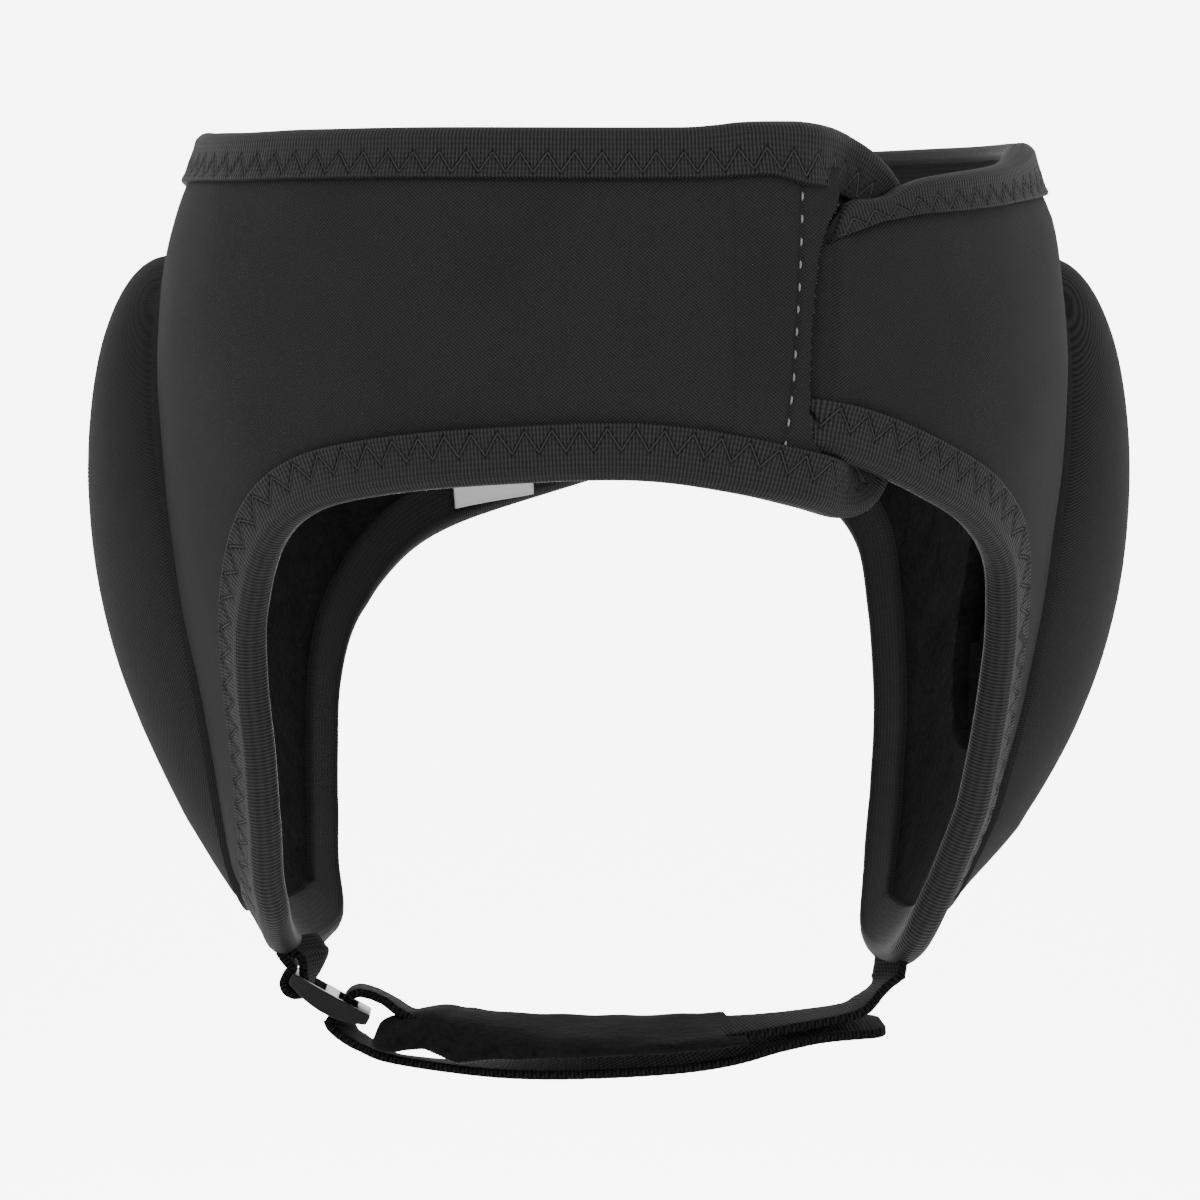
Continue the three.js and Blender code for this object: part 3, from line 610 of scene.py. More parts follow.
JERSEY_LEFT = jersey("jersey left", 1)
JERSEY_RIGHT = jersey("jersey right", -1)
TAPE_LOOK = tape_cloth()
FLEECE = fleece()
WEB_LOOK = web_cloth()
ZIGZAG_LOOK = thread_look("dark thread", 0.035)
DASH_LOOK = thread_look("light thread", 0.3)
FIBRE_LOOK = thread_look("cut fibre", 0.07)
PAD_LOOK = fleece()
PLASTIC = plastic()
LABEL_LOOK = label_cloth()


# Panels

def rim_shown(turn, z=None):
    """How far in from the rim the right tape starts and ends."""
    turns, *shown = zip(*RIM_SHOWN)
    return (np.interp(turn, turns, column) for column in shown)


def brow_shown(turn, z):
    """The left tape starts lower over the brow, and is wider where it turns in."""
    top = ease(z, 40, 60)
    brow = ease(turn, -95, -65) * (1 - ease(turn, 6, 19)) * top
    wider = TURN_IN * ease(turn, 14, 20) * (1 - ease(turn, 30, 34)) * top
    return BROW_DROP * brow, TAPE_WIDTH + BROW_WIDER * brow + wider


def cut_line(cut, place, top):
    """Turn and height of a panel's rim or lower edge at places counted in rows of its cut."""
    turns, shares = [[row[k] for row in cut] for k in ((2, 3) if top else (0, 1))]
    turn = through(turns, place)
    turn = np.where(np.abs(turn) > 179.8, np.sign(turn) * 180, turn)
    return turn, raised(through(shares, place))


def per_degree(turn, z):
    return math.radians(1) * head_radius(turn, z)


def panel(name, cut, sheet, look, side):
    place = evenly(cut, (len(cut) - 1) * 10 + 1)
    foot_turn, foot_z = cut_line(cut, place, False)
    rim_turn, rim_z = cut_line(cut, place, True)
    start, end = (rim_shown if side > 0 else brow_shown)(rim_turn, rim_z)
    rim_z = rim_z - start
    tape = end - start
    share = np.linspace(0, 1, 58)
    turn = foot_turn[:, None] + (rim_turn - foot_turn)[:, None] * share
    z = foot_z[:, None] + (rim_z - foot_z)[:, None] * share
    lift, thick = sheet(turn)
    tall = (rim_z - foot_z)[:, None]
    edge = np.minimum(share * tall, (1 - share) * tall * TAPE_WIDTH / tape[:, None])
    soft = np.where(thick > SHEET - 0.2, swell(edge), 0) + waviness(turn, z) * ease(edge, 6, 16)
    outer = off_head(turn, z, lift + thick + soft)
    inner = off_head(turn, z, lift)
    coat = paired(turn * math.radians(1) * HEAD_HALF_WIDTH, z)
    obj = slab(name, outer, inner, coat, [look, FLEECE])
    cut_ear_hole(obj, side)
    return obj


def cut_ear_hole(obj, side):
    sides = 72
    angle = 2 * np.pi * np.arange(sides) / sides
    lean = -math.atan(PAD_TILT)
    y = EAR_HOLE[0] * np.cos(angle)
    z = EAR_HOLE[1] * np.sin(angle)
    y, z = y * math.cos(lean) - z * math.sin(lean), y * math.sin(lean) + z * math.cos(lean)
    rings = [
        np.stack([np.full(sides, side * x), y + PAD_CENTRE[0], z + PAD_CENTRE[1]], -1)
        for x in (HEAD_HALF_WIDTH * 0.5, HEAD_HALF_WIDTH * 1.5)
    ]
    points = np.concatenate(rings)
    cutter = make("ear hole cutter", points, capped_faces(2, sides), points[:, 1:], [FLEECE])
    modifier = obj.modifiers.new("ear hole", "BOOLEAN")
    modifier.operation = "DIFFERENCE"
    modifier.solver = "EXACT"
    modifier.object = cutter
    graph = bpy.context.evaluated_depsgraph_get()
    mesh = bpy.data.meshes.new_from_object(obj.evaluated_get(graph))
    obj.modifiers.clear()
    obj.data = mesh
    bpy.data.objects.remove(cutter)


# Bindings

class Edge:
    """A panel's edge as a fine line in turns and heights, with the way in from it."""

    def __init__(self, turn, z, sheet, inside, trim=None, cover=None):
        self.trim = trim
        self.cover = cover
        x = turn * per_degree(turn, z)
        length = lengths(np.stack([x, z], -1))
        count = int(length[-1] / EDGE_STEP)
        self.s = np.linspace(0, length[-1], count)
        self.turn = np.interp(self.s, length, turn)
        self.z = np.interp(self.s, length, z)
        self.sheet = sheet
        self.inside = inside
        self.degree = per_degree(self.turn, self.z)
        run = np.stack([np.gradient(self.turn) * self.degree, np.gradient(self.z)], -1)
        kernel = np.ones(5) / 5
        padded = np.pad(run, ((2, 2), (0, 0)), mode="edge")
        run = np.stack([np.convolve(padded[:, k], kernel, mode="valid") for k in (0, 1)], -1)
        self.run = unit(run)
        self.length = length[-1]

    def at(self, s, depth, off, outside=True, share=None):
        """A point at a length along the edge, a depth in from it, and off one face."""
        turn, z, degree = (np.interp(s, self.s, x) for x in (self.turn, self.z, self.degree))
        along = [np.interp(s, self.s, self.run[:, k]) for k in (0, 1)]
        inward = [-along[1] * self.inside, along[0] * self.inside]
        if self.trim:
            start, end = self.trim(turn, z)
            depth = start + depth * (end - start) / TAPE_WIDTH
        lift, thick = self.sheet(turn)
        base = lift + thick if outside else lift
        spot_turn, spot_z = turn + inward[0] * depth / degree, z + inward[1] * depth
        spot = off_head(spot_turn, spot_z, base + off)
        if self.cover:
            level = head_normal(spot_turn, spot_z) * np.array([1, 1, 0])
            share = float(outside) if share is None else share
            spot = spot + unit(level) * (self.cover(turn) * share)[..., None]
        return spot

    def thick(self, s):
        return self.sheet(np.interp(s, self.s, self.turn))[1]


def zigzag_depth(s):
    low, high = (TAPE_WIDTH - x for x in ZIGZAG_FROM_EDGE)
    phase = (np.asarray(s) / ZIGZAG_PITCH) % 1
    return (low + high) / 2 + (low - high) / 2 * (4 * np.abs(phase - 0.5) - 1)


def tape_relief(s, depth):
    """The tape's outer face is drawn down along its stitches and puffs up between them."""
    near = np.abs(depth - zigzag_depth(s))
    stitched = -0.3 * np.exp(-((near / 1.1) ** 2))
    low, high = (TAPE_WIDTH - x for x in ZIGZAG_FROM_EDGE)
    band = np.exp(-(((depth - (low + high) / 2) / 3.2) ** 4))
    roll = 0.42 * np.exp(-(((depth - 1.4) / 1.5) ** 2))
    hem = 0.3 * np.exp(-(((depth - TAPE_WIDTH + 0.7) / 0.55) ** 2))
    return stitched * band + roll + hem + 0.2 * band


def binding(name, edge):
    across = np.linspace(TAPE_WIDTH - 0.15, TAPE_TURN, 18)
    s = edge.s
    thick = edge.thick(s)
    middle, half = (thick + TAPE_FACE + TAPE_BACK) / 2, (thick + TAPE_FACE - TAPE_BACK) / 2
    rows = [edge.at(s, TAPE_WIDTH - 0.05, np.full_like(s, -0.4))]
    depths = [TAPE_WIDTH + 0.5]
    for depth in across:
        rows.append(edge.at(s, depth, TAPE_FACE + tape_relief(s, depth)))
        depths.append(depth)
    for angle in np.radians(np.linspace(75, -75, 9)):
        off = middle + (half + 0.3) * np.sin(angle)
        share = (1 + math.sin(angle)) / 2
        rows.append(edge.at(s, TAPE_TURN - 2.3 * np.cos(angle), off, outside=False, share=share))
        depths.append(-2 + math.degrees(angle) / 40)
    for depth in across[::-3]:
        rows.append(edge.at(s, depth, TAPE_BACK + 0 * s, outside=False))
        depths.append(-4 - depth)
    rows.append(edge.at(s, TAPE_WIDTH - 0.05, np.full_like(s, 0.4), outside=False))
    depths.append(-4.5 - TAPE_WIDTH)
    return sleeve(name, np.stack(rows, 1), paired(s[:, None], np.array(depths)), TAPE_LOOK)


def zigzag(name, edge):
    """The zigzag thread on the tape's outer face."""
    half = ZIGZAG_PITCH / 2
    count = int(edge.length / half) * 6
    s = np.linspace(0.5, 0.5 + int(edge.length / half - 1) * half, count)
    s = np.sort(np.concatenate([s, np.arange(0, edge.length - 1, half)]))
    s = s[np.concatenate([[True], np.diff(s) > 0.05])]
    depth = zigzag_depth(s)
    path = edge.at(s, depth, TAPE_FACE + tape_relief(s, depth) + 0.02)
    below = edge.at(s, depth, 0 * s - 1)
    return threads(name, [(path, unit(path - below), THREAD)], ZIGZAG_LOOK)


def edges():
    fine = 12
    place = evenly(LEFT_CUT, (len(LEFT_CUT) - 1) * fine + 1)
    rim = np.stack(cut_line(LEFT_CUT, place, True))
    foot = np.stack(cut_line(LEFT_CUT, place, False))
    end = rim[:, -1:] + (foot - rim)[:, -1:] * np.linspace(0, 1, 22)[1:-1]
    left = Edge(*np.concatenate([rim, end, foot[:, ::-1]], 1), left_sheet, -1, brow_shown, wrapped)
    place = evenly(RIGHT_CUT, (len(RIGHT_CUT) - 1) * fine + 1)
    turn, z = cut_line(RIGHT_CUT, place, True)
    shown = turn > RIM_SHOWN[0][0]
    rim = Edge(turn[shown], z[shown], squeezed_sheet, 1, rim_shown)
    foot = Edge(*cut_line(RIGHT_CUT, place, False), squeezed_sheet, -1)
    return left, rim, foot


# The closure at the brow

def fly_edge(z):
    """Turn of the strap's raw edge at a height."""
    return np.interp(z, *zip(*RAW_EDGE))


def closure_fly(name):
    """The strap's outer jersey, from flush with the panel to over the right panel's end."""
    foot = raised(FLY_FOOT) + TAPE_WIDTH - 2.8
    top = raised(BROW_TOP) - TAPE_WIDTH + 1.2
    z = np.linspace(foot, top, 60)[None, :]
    share = np.linspace(0, 1, 70)[:, None]
    turn = FLY_STARTS + (fly_edge(z) - FLY_STARTS) * share
    over = ease(turn, FLY_STARTS + 0.5, TAB_THIN - 0.5)
    edge = np.minimum(z - foot - 1.6, top - z) + TAPE_WIDTH - 1.2
    corner = ease(z, top - 9, top - 3) * ease(turn, 19, 22.5)
    sink = 0.75 * (1 - ease(turn, FLY_STARTS, FLY_STARTS + 1.2))
    base = SHEET + swell(edge) * (1 - 0.45 * over) + waviness(turn, z) * (1 - over)
    base = base + (LAP_RISE + 0.1) * over * (1 - 0.6 * corner) + 0.06 - sink
    dent = -0.5 * np.exp(-(((turn - dash_turn(z)) / 0.28) ** 2))
    curl = 0.25 * ease(turn - fly_edge(z), -1.6, 0)
    outer = off_head(turn, z, base + dent + curl)
    inner = off_head(turn, z, base - 0.9 + 0 * turn)
    coat = paired(turn * math.radians(1) * HEAD_HALF_WIDTH, z)
    return slab(name, outer, inner, coat, [JERSEY_LEFT, FLEECE])


def dash_turn(z):
    """Turn of the seam beside the raw edge at a height."""
    return np.interp(z, *zip(*SEAM))


def fly_lift(turn, z):
    over = ease(turn, FLY_STARTS + 0.5, TAB_THIN - 0.5)
    return SHEET + SWELL * (1 - 0.45 * over) + (LAP_RISE + 0.1) * over


def dashes(name):
    rows = []
    z = raised(SEAM_FOOT) + TAPE_WIDTH - 1.5
    while z < raised(BROW_TOP) - TAPE_WIDTH - 1:
        heights = z + np.linspace(0, DASH_LENGTH, 5)
        turn = dash_turn(heights)
        bow = 0.2 * np.sin(np.linspace(0, np.pi, 5))
        path = off_head(turn, heights, fly_lift(turn, heights) - 0.42 + bow)
        rows.append((path, head_normal(turn, heights), 1.25 * THREAD))
        z += DASH_PITCH
    return threads(name, rows, DASH_LOOK, 6)


def raw_edge(name):
    """Short cut fibres along the strap's raw edge."""
    rng = np.random.default_rng(5)
    rows = []
    foot, top = raised(FLY_FOOT) + TAPE_WIDTH - 1, raised(BROW_TOP) - TAPE_WIDTH + 1
    for z in np.arange(foot + 3, top - 6, 0.14):
        turn = fly_edge(z) - 0.05
        lift = float(fly_lift(turn, z)) + 0.15 - 0.8 * rng.random()
        out = 0.1 + 0.35 * rng.random()
        drift = rng.normal(0, 0.35)
        reach = np.linspace(0, 1, 4)
        path = off_head(turn + reach * out * 0.7, z + reach * drift, lift + reach * rng.normal(0, 0.2))
        rows.append((path, head_normal(np.full(4, turn), np.full(4, z)), 0.07))
    return threads(name, rows, FIBRE_LOOK, 4)


def back_seam(name):
    """Flat seam threads across the joint at the middle of the back."""
    rows = []
    half = 2.6 / per_degree(180, 60)
    foot, top = raised(BACK_FOOT), raised(1)
    for z in np.arange(foot + TAPE_WIDTH + 0.6, top - TAPE_WIDTH - 0.4, 0.95):
        for lean in (-0.45, 0.45):
            share = np.linspace(-1, 1, 9)
            turn, heights = 180 + half * share, z + lean * share
            edge = np.minimum(heights - foot, top - heights)
            lift = SHEET + swell(edge) + waviness(np.where(turn > 180, turn - 360, turn), heights)
            path = off_head(turn, heights, lift - 0.1 + 0.2 * (1 - share**4))
            rows.append((path, head_normal(turn, heights), 0.16))
    return threads(name, rows, ZIGZAG_LOOK)


def lining_stitches(name):
    """A short row of stitches on the lining at the rear of the left flap."""
    rows = []
    low, high = np.array(LINING_SEAM)
    for share in np.arange(0, 1, 0.128):
        spots = low + (high - low) * (share + np.linspace(0, 0.035, 4))[:, None]
        path = off_head(spots[:, 0], spots[:, 1], -0.1)
        rows.append((path, -head_normal(spots[:, 0], spots[:, 1]), 0.2))
    return threads(name, rows, FIBRE_LOOK)


# Ear pads

def pad_rise(back, up):
    width = PAD_HALF_WIDTH * (1 + PAD_EGG * up / PAD_HALF_HEIGHT)
    share = np.minimum(np.hypot(back / width, up / PAD_HALF_HEIGHT), 1)
    high = np.minimum(up / PAD_HALF_HEIGHT, 1)
    return (1 - share * share) ** (PAD_STEEP[0] - PAD_STEEP[1] * high) * (1 + PAD_BROW * high)


def pad_place(side, back, up, off):
    middle = side * (90 + math.degrees(math.atan2(PAD_CENTRE[0], HEAD_HALF_WIDTH)))
    z = PAD_CENTRE[1] + up
    turn = middle + side * (back + PAD_TILT * up) / per_degree(middle, z)
    return off_head(turn, z, SHEET + FIT + off)


def pad_dome(back, up):
    """How far the pad's outer face stands off the panel."""
    return PAD_EDGE + (PAD_HEIGHT - PAD_EDGE) * pad_rise(back, up)


def ear_pad(name, side, look):
    """A hollow dome: the outer face from the vent, the skirt, the base and the cavity."""
    around = 120
    angle = 2 * np.pi * np.arange(around)[:, None] / around
    width = PAD_HALF_WIDTH * np.cos(angle) * (1 + PAD_EGG * np.sin(angle))
    rim = np.stack([width, PAD_HALF_HEIGHT * np.sin(angle)], -1)
    vent = np.stack([VENT_RADIUS * np.cos(angle), VENT_RAISED + VENT_RADIUS * np.sin(angle)], -1)
    share = np.sin(np.linspace(0, np.pi / 2, 40))[:, None]
    spot = vent + (rim - vent) * share
    back, up = spot[..., 0], spot[..., 1]
    lip = -0.9 * np.exp(-share[:, 0] / 0.012)
    outer = pad_place(side, back, up, pad_dome(back, up) + lip)
    skirt = [
        pad_place(side, rim[..., 0] * k, rim[..., 1] * k, off)
        for k, off in ((1.008, 1.9), (1.012, 0.9), (1.02, 0.1), (1.03, -0.9), (0.97, -1.6))
    ]
    under = rim * np.linspace(0.9, CAVITY_SHARE, 5)[:, None]
    base = pad_place(side, *under.transpose(2, 0, 1), -1.2)
    hollow = vent + (rim * CAVITY_SHARE - vent) * np.linspace(0.9, 0, 12)[:, None]
    back, up = hollow[..., 0], hollow[..., 1]
    rise = (PAD_HEIGHT - PAD_WALL) * pad_rise(back / CAVITY_SHARE, up / CAVITY_SHARE) + PAD_EDGE
    grid = np.concatenate([outer, *skirt, base, pad_place(side, back, up, rise)], 1)
    coat = np.concatenate([spot, *(rim * k for k in (1.02, 1.04, 1.06, 1.08, 1.0)), under, hollow], 1)
    rows, cols = grid.shape[:2]
    faces = grid_faces(rows, cols, close_rows=True, close_cols=True)
    inside = np.tile(np.arange(cols) >= outer.shape[1] + len(skirt), rows)
    return make(name, grid.reshape(-1, 3), faces, coat.reshape(-1, 2), [look, FLEECE], inside)


def vent_ring(name, side):
    """A stitched eyelet round the vent."""
    rows = []
    for start in np.linspace(0, 2 * np.pi, 48, endpoint=False):
        turn = start + np.linspace(-0.02, 0.06, 4)
        radius = VENT_RADIUS + np.array([-0.5, 0.3, 1.0, 1.5])
        back, up = radius * np.cos(turn), VENT_RAISED + radius * np.sin(turn)
        rise = pad_dome(back, up)
        path = pad_place(side, back, up, rise + np.array([-0.8, 0.15, 0.22, 0.02]))
        rows.append((path, unit(path - pad_place(side, back, up, rise - 3)), 0.26))
    return threads(name, rows, TAPE_LOOK)


# Webbing

def route_at(place):
    """The strap's middle line, the way across it and the way off its face, at places on its route."""
    place = np.asarray(place, float)
    reach, drop, ahead, tilts = zip(*STRAP_ROUTE)

    def spot(at):
        down = -FLAP_DROP - STRAP_HANG * through(drop, at)
        return np.stack([TIP_REACH * through(reach, at), STRAP_BACK - through(ahead, at), down], -1)

    last = len(STRAP_ROUTE) - 1
    along = unit(spot(np.clip(place + 0.02, 0, last)) - spot(np.clip(place - 0.02, 0, last)))
    tilt = np.radians(through(tilts, place))
    across = np.stack([0 * tilt, np.cos(tilt), np.sin(tilt)], -1)
    face = unit(np.cross(along, across))
    return spot(place), np.cross(face, along), face


def band(name, at, across, face, look, edge, blunt=0):
    """Woven band with rounded edges. edge scallops its sides and blunt rounds its last millimetres."""
    length = lengths(at)
    scallop = edge * np.abs(np.sin(np.pi * length / 1.5))
    half, deep = WEBBING_WIDTH / 2, WEBBING / 2
    flat, side = half - deep * 0.6, deep * 0.6
    shares = np.linspace(-1, 1, 9)
    turned = [(flat + side * math.sin(a), deep * math.cos(a)) for a in (0.5, 1.1, 1.57, 2.0, 2.6)]
    profile = [(w * flat, deep) for w in shares] + turned
    profile += [(w * flat, -deep) for w in shares[::-1]] + [(-w, t) for w, t in turned][::-1]
    rings = []
    for w, t in profile:
        grow = 1 + np.sign(w) * scallop / max(abs(w), 1) * (abs(w) > half - 1.2)
        if blunt:
            grow = grow * (1 - 0.4 * np.clip((length - length[-1]) / blunt + 1, 0, 1) ** 3)
        rings.append(at + across * (w * grow)[:, None] + face * t)
    coat = paired(length[:, None], lengths(np.array(profile)))
    return sleeve(name, np.stack(rings, 1), coat, look)


def chin_strap(name):
    """The strap, turned to lie along the right flap where it is sewn in."""
    place = evenly(STRAP_ROUTE, 420)
    at, across, face = route_at(place)
    at_tip = 1 - ease(place, 0, 1)
    round_buckle = ease(place, 15.5, 17.5) * (1 - ease(place, 19.5, 22.5))
    swing = 0.14 * at_tip - 0.2 * round_buckle
    across[:, 2] *= 1 - 0.45 * (1 - ease(place, 4, 6)) - 0.3 * ease(place, 25, 27)
    across[:, 0] -= swing
    across = unit(across)
    face = unit(np.cross(unit(np.gradient(at, axis=0)), across))
    into_tip = np.linspace(4.5, 0.4, 8)[:, None] * np.array([0.15, 0, 1])
    at = np.concatenate([at[0] + into_tip, at])
    across, face = (np.concatenate([np.tile(x[0], (len(into_tip), 1)), x]) for x in (across, face))
    return band(name, at, across, face, WEB_LOOK, 0.35, blunt=3)


def pad_spot(along, around):
    """A point on the chin pad: along it from right (0) to left (1), round it in degrees."""
    along, around = np.broadcast_arrays(np.asarray(along, float), np.radians(around))
    at, across, face = route_at(SLEEVE_SPAN[0] + (SLEEVE_SPAN[1] - SLEEVE_SPAN[0]) * along)
    at = at + ease(along, 0.78, 1)[..., None] * np.array(PAD_END_SHIFT)
    knots = np.linspace(0, 1, len(PAD_SHAPE))
    top, bottom, front = (np.interp(along, knots, column) for column in zip(*PAD_SHAPE))
    c, s = np.cos(around), np.sin(around)
    close = np.sqrt(np.clip(1 - np.clip((along - 0.9) / 0.105, 0, 1) ** 2, 0.02, 1))
    w = np.sign(c) * np.abs(c) ** 0.5 * SLEEVE_WIDTH / 2 * (0.35 + 0.65 * close)
    t = np.sign(s) * np.abs(s) ** 0.7 * np.where(s > 0, top, bottom) * (0.25 + 0.75 * close)
    lobe = front * np.clip(-c, 0, 1) ** 1.5
    creases = 0.18 * np.sin(along * 31 + 2 * c) * np.sin(along * 13 + 3 * around)
    up = np.sign(face[..., 2:3]) * face
    spot = at + across * w[..., None] + up * (t + creases)[..., None]
    return spot - np.array([0, 0, 1.0]) * lobe[..., None]


def chin_pad(name):
    """A flat padded sleeve of brushed cloth round the upper strand, with a lobe in front."""
    around = np.linspace(0, 360, 72, endpoint=False)
    share = np.linspace(0, 1, 110)[:, None]
    return sleeve(name, pad_spot(share, around), paired(around / 9, share * 60), PAD_LOOK)


def pad_stitches(name):
    """The seam along the lobe."""
    rows = []
    for along in np.arange(0.4, 0.9, 0.011):
        turn = 238 - 34 * math.sin((along - 0.4) / 0.5 * math.pi)
        spots = pad_spot(along + np.linspace(0, 0.006, 4), turn)
        away = unit(spots - pad_spot(along, 90.0)[None, :])
        rows.append((spots + away * 0.08, away, 0.17))
    return threads(name, rows, FIBRE_LOOK)


def buckle_middle():
    across, down = BUCKLE_AT
    return np.array([TIP_REACH * across, STRAP_BACK - 1, -FLAP_DROP - STRAP_HANG * down])


def strap_loop(name):
    """Webbing from inside the left tip, round the buckle's first bar and back up outside."""
    bar_x = -(BUCKLE_LENGTH - BUCKLE_BAR) / 2
    slope = math.radians(BUCKLE_SLOPE)
    bar = buckle_middle() + np.array([bar_x * math.cos(slope), 0, -bar_x * math.sin(slope)])
    wide, deep = BUCKLE_BAR / 2 + WEBBING / 2 + 0.15, BUCKLE_THICKNESS / 2 + WEBBING / 2 + 0.1
    foot = float(raised(-0.925))

    def seat(lift, above):
        at = off_head(-96, foot - 1.7 + above, lift)
        at[1] = bar[1]
        return at

    spots = [seat(-0.3, above) for above in (2.5, 0, -1.2)]
    for degrees in (20, -20, -60, -100, -140, -180, -212):
        a = math.radians(degrees)
        spots.append(bar + np.array([wide * math.cos(a), 0, deep * math.sin(a)]))
    spots += [seat(SHEET + 0.3, above) for above in (-0.6, 1, 2.5)]
    place = evenly(spots, 90)
    at = np.stack([through(column, place) for column in zip(*spots)], -1)
    leaning = 0.3 * (1 - ease(place, 1, 4))
    across = unit(np.stack([leaning, np.ones_like(leaning), 0 * leaning], -1))
    face = unit(np.cross(unit(np.gradient(at, axis=0)), across))
    return band(name, at, across, face, WEB_LOOK, 0.3)


def buckle(name):
    """A moulded tri-glide whose side rails are arched, remeshed into one rounded body."""
    rail = (BUCKLE_WIDTH - WEBBING_WIDTH - BUCKLE_SLACK) / 2
    shell = bmesh.new()

    def block(middle, size, arch=0.0):
        """A box in 12 slices along its length, whose underside sags."""
        grid = []
        for share in np.linspace(-0.5, 0.5, 13):
            sag = arch * (1 - 4 * share * share)
            x = middle[0] + share * size[0]
            ring = [(middle[1] + y * size[1] / 2, z * size[2] / 2 - sag * (z < 0)) for y, z in corners]
            grid.append([shell.verts.new((x, y, z)) for y, z in ring])
        for a, b in zip(grid, grid[1:]):
            for k in range(4):
                shell.faces.new((a[k], a[(k + 1) % 4], b[(k + 1) % 4], b[k]))
        shell.faces.new(grid[0][::-1])
        shell.faces.new(grid[-1])

    corners = ((-1, -1), (1, -1), (1, 1), (-1, 1))
    for side in (-1, 1):
        block((0, side * (BUCKLE_WIDTH - rail) / 2), (BUCKLE_LENGTH, rail, BUCKLE_PLATE), BUCKLE_PLATE)
    for side in (-1, 0, 1):
        at = side * (BUCKLE_LENGTH - BUCKLE_BAR) / 2
        block((at, 0), (BUCKLE_BAR, BUCKLE_WIDTH - rail, BUCKLE_PLATE))
    mesh = bpy.data.meshes.new(name)
    bmesh.ops.recalc_face_normals(shell, faces=shell.faces)
    shell.to_mesh(mesh)
    shell.free()
    obj = put(name, mesh)
    remesh = obj.modifiers.new("one body", "REMESH")
    remesh.mode = "VOXEL"
    remesh.voxel_size = BUCKLE_VOXEL
    smooth = obj.modifiers.new("rounded", "SMOOTH")
    smooth.iterations = 6
    graph = bpy.context.evaluated_depsgraph_get()
    mesh = bpy.data.meshes.new_from_object(obj.evaluated_get(graph))
    bpy.data.objects.remove(obj)
    mesh.materials.append(PLASTIC)
    tip = Matrix.Rotation(math.radians(BUCKLE_SLOPE + BUCKLE_TIPPED), 4, "Y")
    mesh.transform(Matrix.Scale(MM, 4) @ Matrix.Translation(Vector(buckle_middle())) @ tip)
    mesh.polygons.foreach_set("use_smooth", np.ones(len(mesh.polygons), bool))
    return put(name, mesh)


def care_label(name):
    """A blank folded label that hangs on the inside of the back."""
    share = np.linspace(0, 1, 26)[:, None]
    height = np.linspace(0, 1, 20)
    turn = LABEL_TURNS[0] + (LABEL_TURNS[1] - LABEL_TURNS[0]) * share
    foot = raised(LABEL_FEET[0] + (LABEL_FEET[1] - LABEL_FEET[0]) * share)
    z = foot + LABEL_HEIGHT * height
    curl = 0.7 * (1 - height) ** 2 + 0.3 * np.sin(share * 5) * (1 - height)
    low = -TAPE_STACK - 2 * FIT - curl
    outer = off_head(turn, z, low)
    inner = off_head(turn, z, low - LABEL_THICKNESS)
    return slab(name, outer, inner, paired(turn * 1.6, z), [LABEL_LOOK])


def dress():
    """Every piece that stands for a node, and the trim on it."""
    cloth, tape = "neoprene_jersey", "binding_tape"
    left_edge, rim_edge, foot_edge = edges()
    pieces = [
        ("left_panel", cloth, panel, LEFT_CUT, left_sheet, JERSEY_LEFT, -1),
        ("right_panel", cloth, panel, RIGHT_CUT, squeezed_sheet, JERSEY_RIGHT, 1),
        ("closure_fly", cloth, closure_fly),
        ("left_edge_binding", tape, binding, left_edge),
        ("right_rim_binding", tape, binding, rim_edge),
        ("right_lower_binding", tape, binding, foot_edge),
        ("left_ear_pad", cloth, ear_pad, -1, JERSEY_LEFT),
        ("right_ear_pad", cloth, ear_pad, 1, JERSEY_RIGHT),
        ("chin_strap", "webbing", chin_strap),
        ("chin_pad", "fleece_lining", chin_pad),
        ("left_strap_loop", "webbing", strap_loop),
        ("tri_glide_buckle", "buckle_plastic", buckle),
        ("care_label", "label_cloth", care_label),
    ]
    trims = [
        ("left_zigzag", tape, zigzag, left_edge),
        ("right_rim_zigzag", tape, zigzag, rim_edge),
        ("right_lower_zigzag", tape, zigzag, foot_edge),
        ("closure_stitches", tape, dashes),
        ("raw_edge_fibres", cloth, raw_edge),
        ("pad_stitches", "fleece_lining", pad_stitches),
        ("back_seam", cloth, back_seam),
        ("lining_stitches", "fleece_lining", lining_stitches),
        ("left_vent_stitches", cloth, vent_ring, -1),
        ("right_vent_stitches", cloth, vent_ring, 1),
    ]
    for node, slot, build, *values in pieces:
        obj = build(node, *values)
        obj.name = node + "_cloth"
        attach(obj, "root")
        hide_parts(node)
    for name, slot, build, *values in trims:
        obj = build(name, *values)
        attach(obj, "root")


# The studio

def camera():
    data = bpy.data.cameras.new("camera")
    data.sensor_width = 36
    data.lens = CAMERA_FOCAL / 1200 * data.sensor_width
    data.clip_start = 0.05
    data.clip_end = 20
    obj = put("camera", data)
    turn = math.radians(CAMERA_TURN)
    aside = -CAMERA_DISTANCE * math.sin(turn) - CAMERA_ASIDE
    obj.location = Vector((aside, -CAMERA_DISTANCE * math.cos(turn), 0)) * MM
    obj.rotation_euler = (math.pi / 2, 0, -turn)
    bpy.context.scene.camera = obj


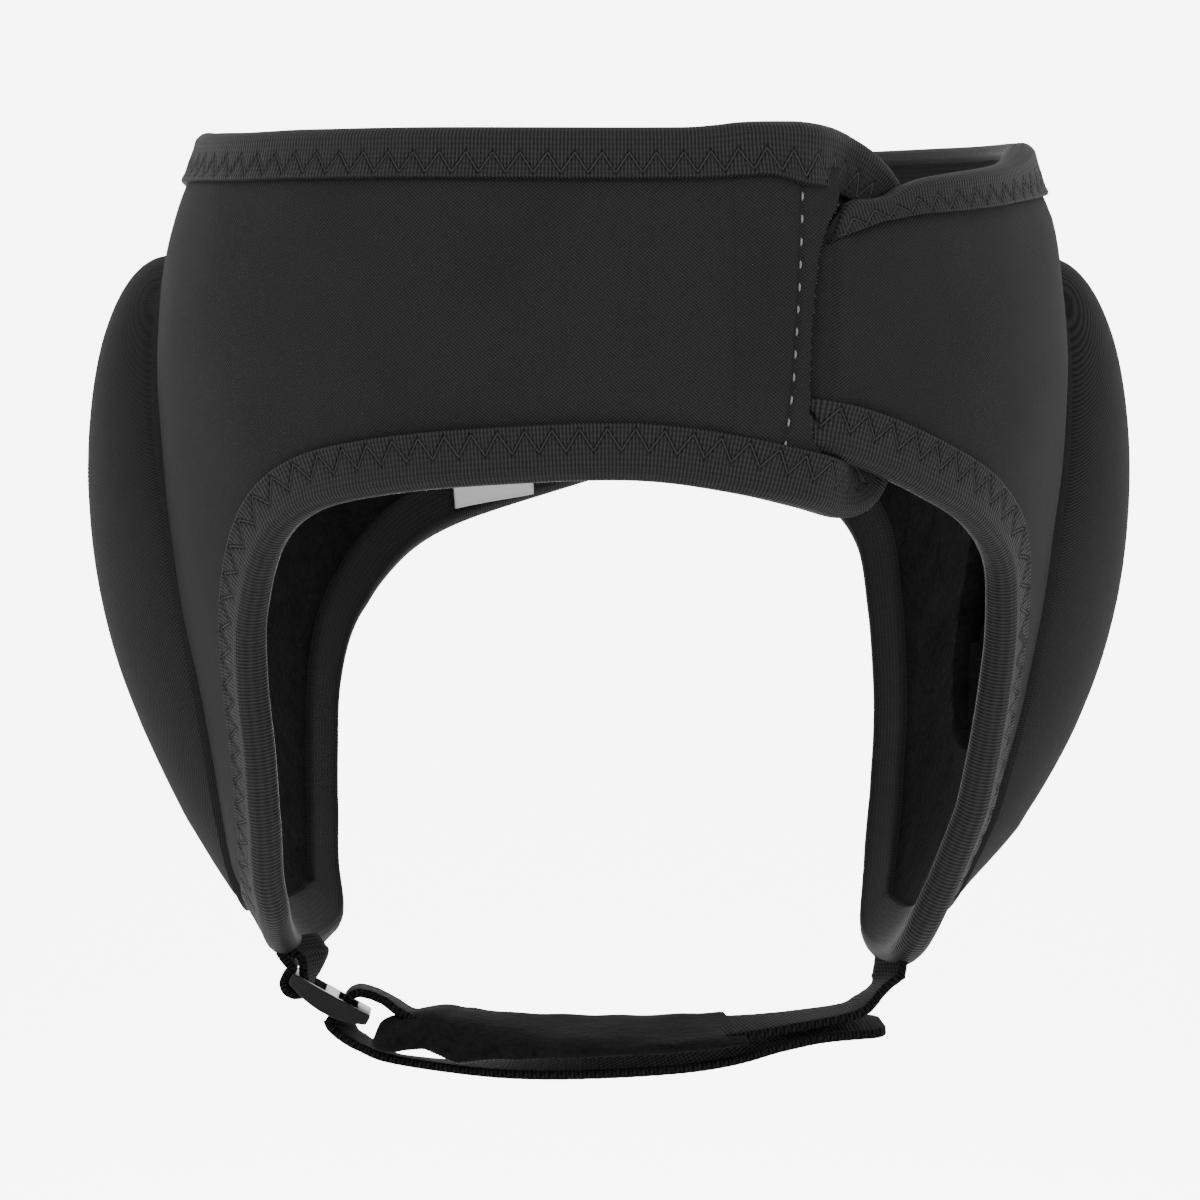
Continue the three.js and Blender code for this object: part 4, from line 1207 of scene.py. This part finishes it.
def area_light(name, at, aim, size, power):
    data = bpy.data.lights.new(name, "AREA")
    data.shape = "RECTANGLE"
    data.size, data.size_y = size
    data.energy = power
    obj = put(name, data)
    obj.location = at
    obj.rotation_euler = (Vector(aim) - Vector(at)).to_track_quat("-Z", "Y").to_euler()


def stage_piece(name, points, faces, look):
    mesh = bpy.data.meshes.new(name)
    mesh.from_pydata(points, [], faces)
    mesh.polygons.foreach_set("use_smooth", np.ones(len(faces), bool))
    mesh.materials.append(look)
    put(name, mesh)


def studio():
    floor_z = -0.2
    reach, bend = 5.0, 1.2
    profile = [(-reach, floor_z), (bend, floor_z)]
    for k in range(1, 13):
        a = math.pi / 2 * k / 12
        profile.append((bend + bend * math.sin(a), floor_z + bend * (1 - math.cos(a))))
    points = [(x, y, z) for x in (-reach, reach) for y, z in profile]
    count = len(profile)
    faces = [(k, count + k, count + k + 1, k + 1) for k in range(count - 1)]
    n = Nodes("pale backdrop")
    n.colour(n.ramp(n.noise(400, 1), 0.955, 0.965))
    n.glow(0.2)
    stage_piece("backdrop", points, faces, n.surface(None, 0.9, 0.1))
    left, right, back, top = -0.21, 0.25, 0.95, 0.25
    foot = floor_z + MM
    corners = [(left, back, foot), (right, back, foot), (right, back, top), (left, back, top)]
    n = Nodes("light panel")
    n.glow(6)
    stage_piece("light panel", corners, [(0, 1, 2, 3)], n.surface(None, 0.9, 0.1))
    world = bpy.data.worlds.new("studio")
    world.use_nodes = True
    world.node_tree.nodes["Background"].inputs["Color"].default_value = (1, 1, 1, 1)
    world.node_tree.nodes["Background"].inputs["Strength"].default_value = 1.0
    bpy.context.scene.world = world
    area_light("key", (-0.9, -1.5, 1.3), (0, 0, 0.02), (1.2, 1.0), 19)
    area_light("fill", (1.2, -1.2, 0.6), (0, 0, 0), (1.0, 1.2), 9)
    area_light("back left", (-1.3, 0.5, 0.5), (0, 0, 0), (0.5, 1.2), 1.5)
    area_light("back right", (1.3, 0.5, 0.5), (0, 0, 0), (0.5, 1.2), 1.5)


camera()
dress()
studio()
